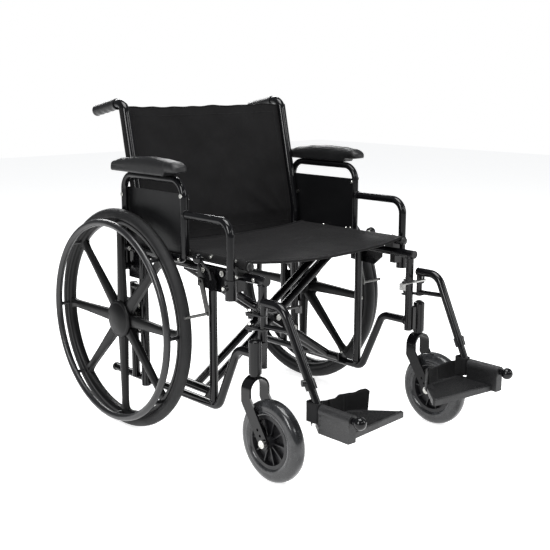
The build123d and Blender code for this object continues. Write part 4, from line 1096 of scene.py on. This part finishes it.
def buildBeads(sideName, side):
    x = side * 272
    beads = []
    for centre, direction, radius in (
            (at(x, 504, 467), Vector((0, 0, 1)), 0.0118), (at(x, 310, 467), Vector((0, 0, 1)), 0.0118),
            (at(x, 310, 127.5), Vector((0, 0, 1)), 0.0118), (at(x, 492.5, 288), Vector((0, 1, 0)), 0.0118)):
        beads.append(weldBead(centre, direction, radius))
    joined = joinInto(f"frameWelds_{sideName}", beads)
    dress(joined, f"{sideName}_frame")
    armX = side * 315
    beads = [weldBead(at(armX, 260.5, 617), Vector((0, 1, 0)), 0.0112),
             weldBead(at(armX, -8, 500), Vector((0, 1, 0)), 0.0102)]
    joined = joinInto(f"armWelds_{sideName}", beads)
    dress(joined, f"armrest_{sideName}")
    for label, spots, radius, height, sidesCount in boltGroups:
        makeScrews(f"{label}_{sideName}", f"{sideName}_frame",
                   [(at(side * x, a, z), Vector((side, 0, 0))) for x, a, z in spots], radius, height,
                   sidesCount=sidesCount)
    hinges = [(at(side * 292, 480, z), Vector((0, 0, 1))) for z in (404.4, 370.4)]
    makeScrews(f"hingeBolts_{sideName}", f"{sideName}_frame", hinges, 0.0056, 0.0032, sidesCount=6)
    makeScrews(f"stemCap_{sideName}", f"{sideName}_frame", [(at(side * 305, 514, 341.8), Vector((0, 0, 1)))],
               0.006, 0.002, finish="plug_black")


for sideName, side in sides:
    buildBeads(sideName, side)
braceSpots = []
for reach in (-76, 76):
    turn = atan2(0.6686, 1)
    braceSpots.append((at(reach * cos(turn), 260.6, 298.1 - reach * sin(turn)), Vector((0, -1, 0))))
makeScrews("bracePlateBolts", "brace_b", braceSpots, 0.0062, 0.004, sidesCount=6)
print("welds and bolts built")

bodyOf = {node: body for body, group in frame["record"]["behaviour"]["bodies"].items() for node in group}
redrawn = ("rear_tyre", "rear_wheel", "hub_cap", "caster_tyre", "hand_grip", "arm_pad", "seat_sling",
           "back_sling", "heel_loop")


def dressSolids():  # the same shapes with their facets joined, so that highlights run smoothly along them
    count = 0
    for nodeName, thing in nodes.items():
        if nodeName.startswith(redrawn):
            continue
        mesh = thing.data.copy()
        mesh.transform(thing.matrix_world)
        mesh.name = nodeName + "Smooth"
        work = bmesh.new()
        work.from_mesh(mesh)
        bmesh.ops.remove_doubles(work, verts=work.verts, dist=0.00001)
        work.to_mesh(mesh)
        work.free()
        piece = bpy.data.objects.new(mesh.name, mesh)
        bpy.context.scene.collection.objects.link(piece)
        if "custom_normal" in mesh.attributes:
            mesh.attributes.remove(mesh.attributes["custom_normal"])
        smoothByAngle(piece, 32)
        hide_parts(nodeName)
        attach(piece, bodyOf[nodeName])
        count += 1
    print("smooth copies made of", count, "solids")


dressSolids()

studio = {"floor": (0.8, 0.8, 0.8), "floorGlow": 0.72, "backdrop": (1.0, 1.0, 1.0),
          "around": (0.9, 0.93, 0.96), "aroundStrength": 0.27,
          "camera": (-1.7738, -1.9477, 0.9580), "aim": (0.65486, 0.72885, -0.19984), "lens": 63.4}

floorMesh = bpy.data.meshes.new("floor")
floorMesh.from_pydata([(-9, -9, 0), (9, -9, 0), (9, 9, 0), (-9, 9, 0)], [], [(0, 1, 2, 3)])
floor = bpy.data.objects.new("floor", floorMesh)
bpy.context.scene.collection.objects.link(floor)
paper = bpy.data.materials.new("floorPaper")
paper.use_nodes = True
fill(paper.node_tree.nodes["Principled BSDF"], {
    "Base Color": (*studio["floor"], 1), "Roughness": 0.55,
    "Emission Color": (1, 1, 1, 1), "Emission Strength": studio["floorGlow"]})
floorMesh.materials.append(paper)

world = bpy.data.worlds.new("studio")
bpy.context.scene.world = world
world.use_nodes = True
sky = world.node_tree
softSky = fill(sky.nodes["Background"],
               {"Color": (*studio["around"], 1), "Strength": studio["aroundStrength"]})
whiteSky = sky.nodes.new("ShaderNodeBackground")  # the plain paper seen behind the chair
fill(whiteSky, {"Color": (*studio["backdrop"], 1)})
rays = sky.nodes.new("ShaderNodeLightPath")
chooser = sky.nodes.new("ShaderNodeMixShader")
wire(rays, "Is Camera Ray", chooser, "Fac")
wire(softSky, 0, chooser, 1)
wire(whiteSky, 0, chooser, 2)
wire(chooser, 0, sky.nodes["World Output"], "Surface")


def addLight(name, place, target, size, power):
    data = bpy.data.lights.new(name, "AREA")
    data.shape = "RECTANGLE"
    data.size, data.size_y = size
    data.energy = power
    lamp = bpy.data.objects.new(name, data)
    lamp.location = place
    lamp.rotation_euler = (Vector(target) - Vector(place)).to_track_quat("-Z", "Y").to_euler()
    bpy.context.scene.collection.objects.link(lamp)


addLight("topSoft", (-0.2, -0.3, 3.4), (0, 0, 0.4), (2.0, 2.0), 130)
addLight("keyLeft", (-3.2, -0.9, 2.1), (0, 0, 0.5), (0.8, 2.0), 80)
addLight("fillRight", (2.4, -2.8, 1.9), (0, 0, 0.5), (0.8, 1.8), 42)
addLight("frontStrip", (-0.6, -3.6, 2.4), (0, 0, 0.5), (1.6, 0.5), 16)
addLight("backStrip", (1.4, 2.8, 2.2), (0, 0, 0.6), (2.4, 0.6), 60)

eye = bpy.data.cameras.new("camera")
eye.lens = studio["lens"]
eye.sensor_width = 36
camera = bpy.data.objects.new("camera", eye)
camera.location = studio["camera"]
camera.rotation_euler = Vector(studio["aim"]).to_track_quat("-Z", "Y").to_euler()
bpy.context.scene.collection.objects.link(camera)
bpy.context.scene.camera = camera
bpy.context.scene.view_settings.view_transform = "Standard"
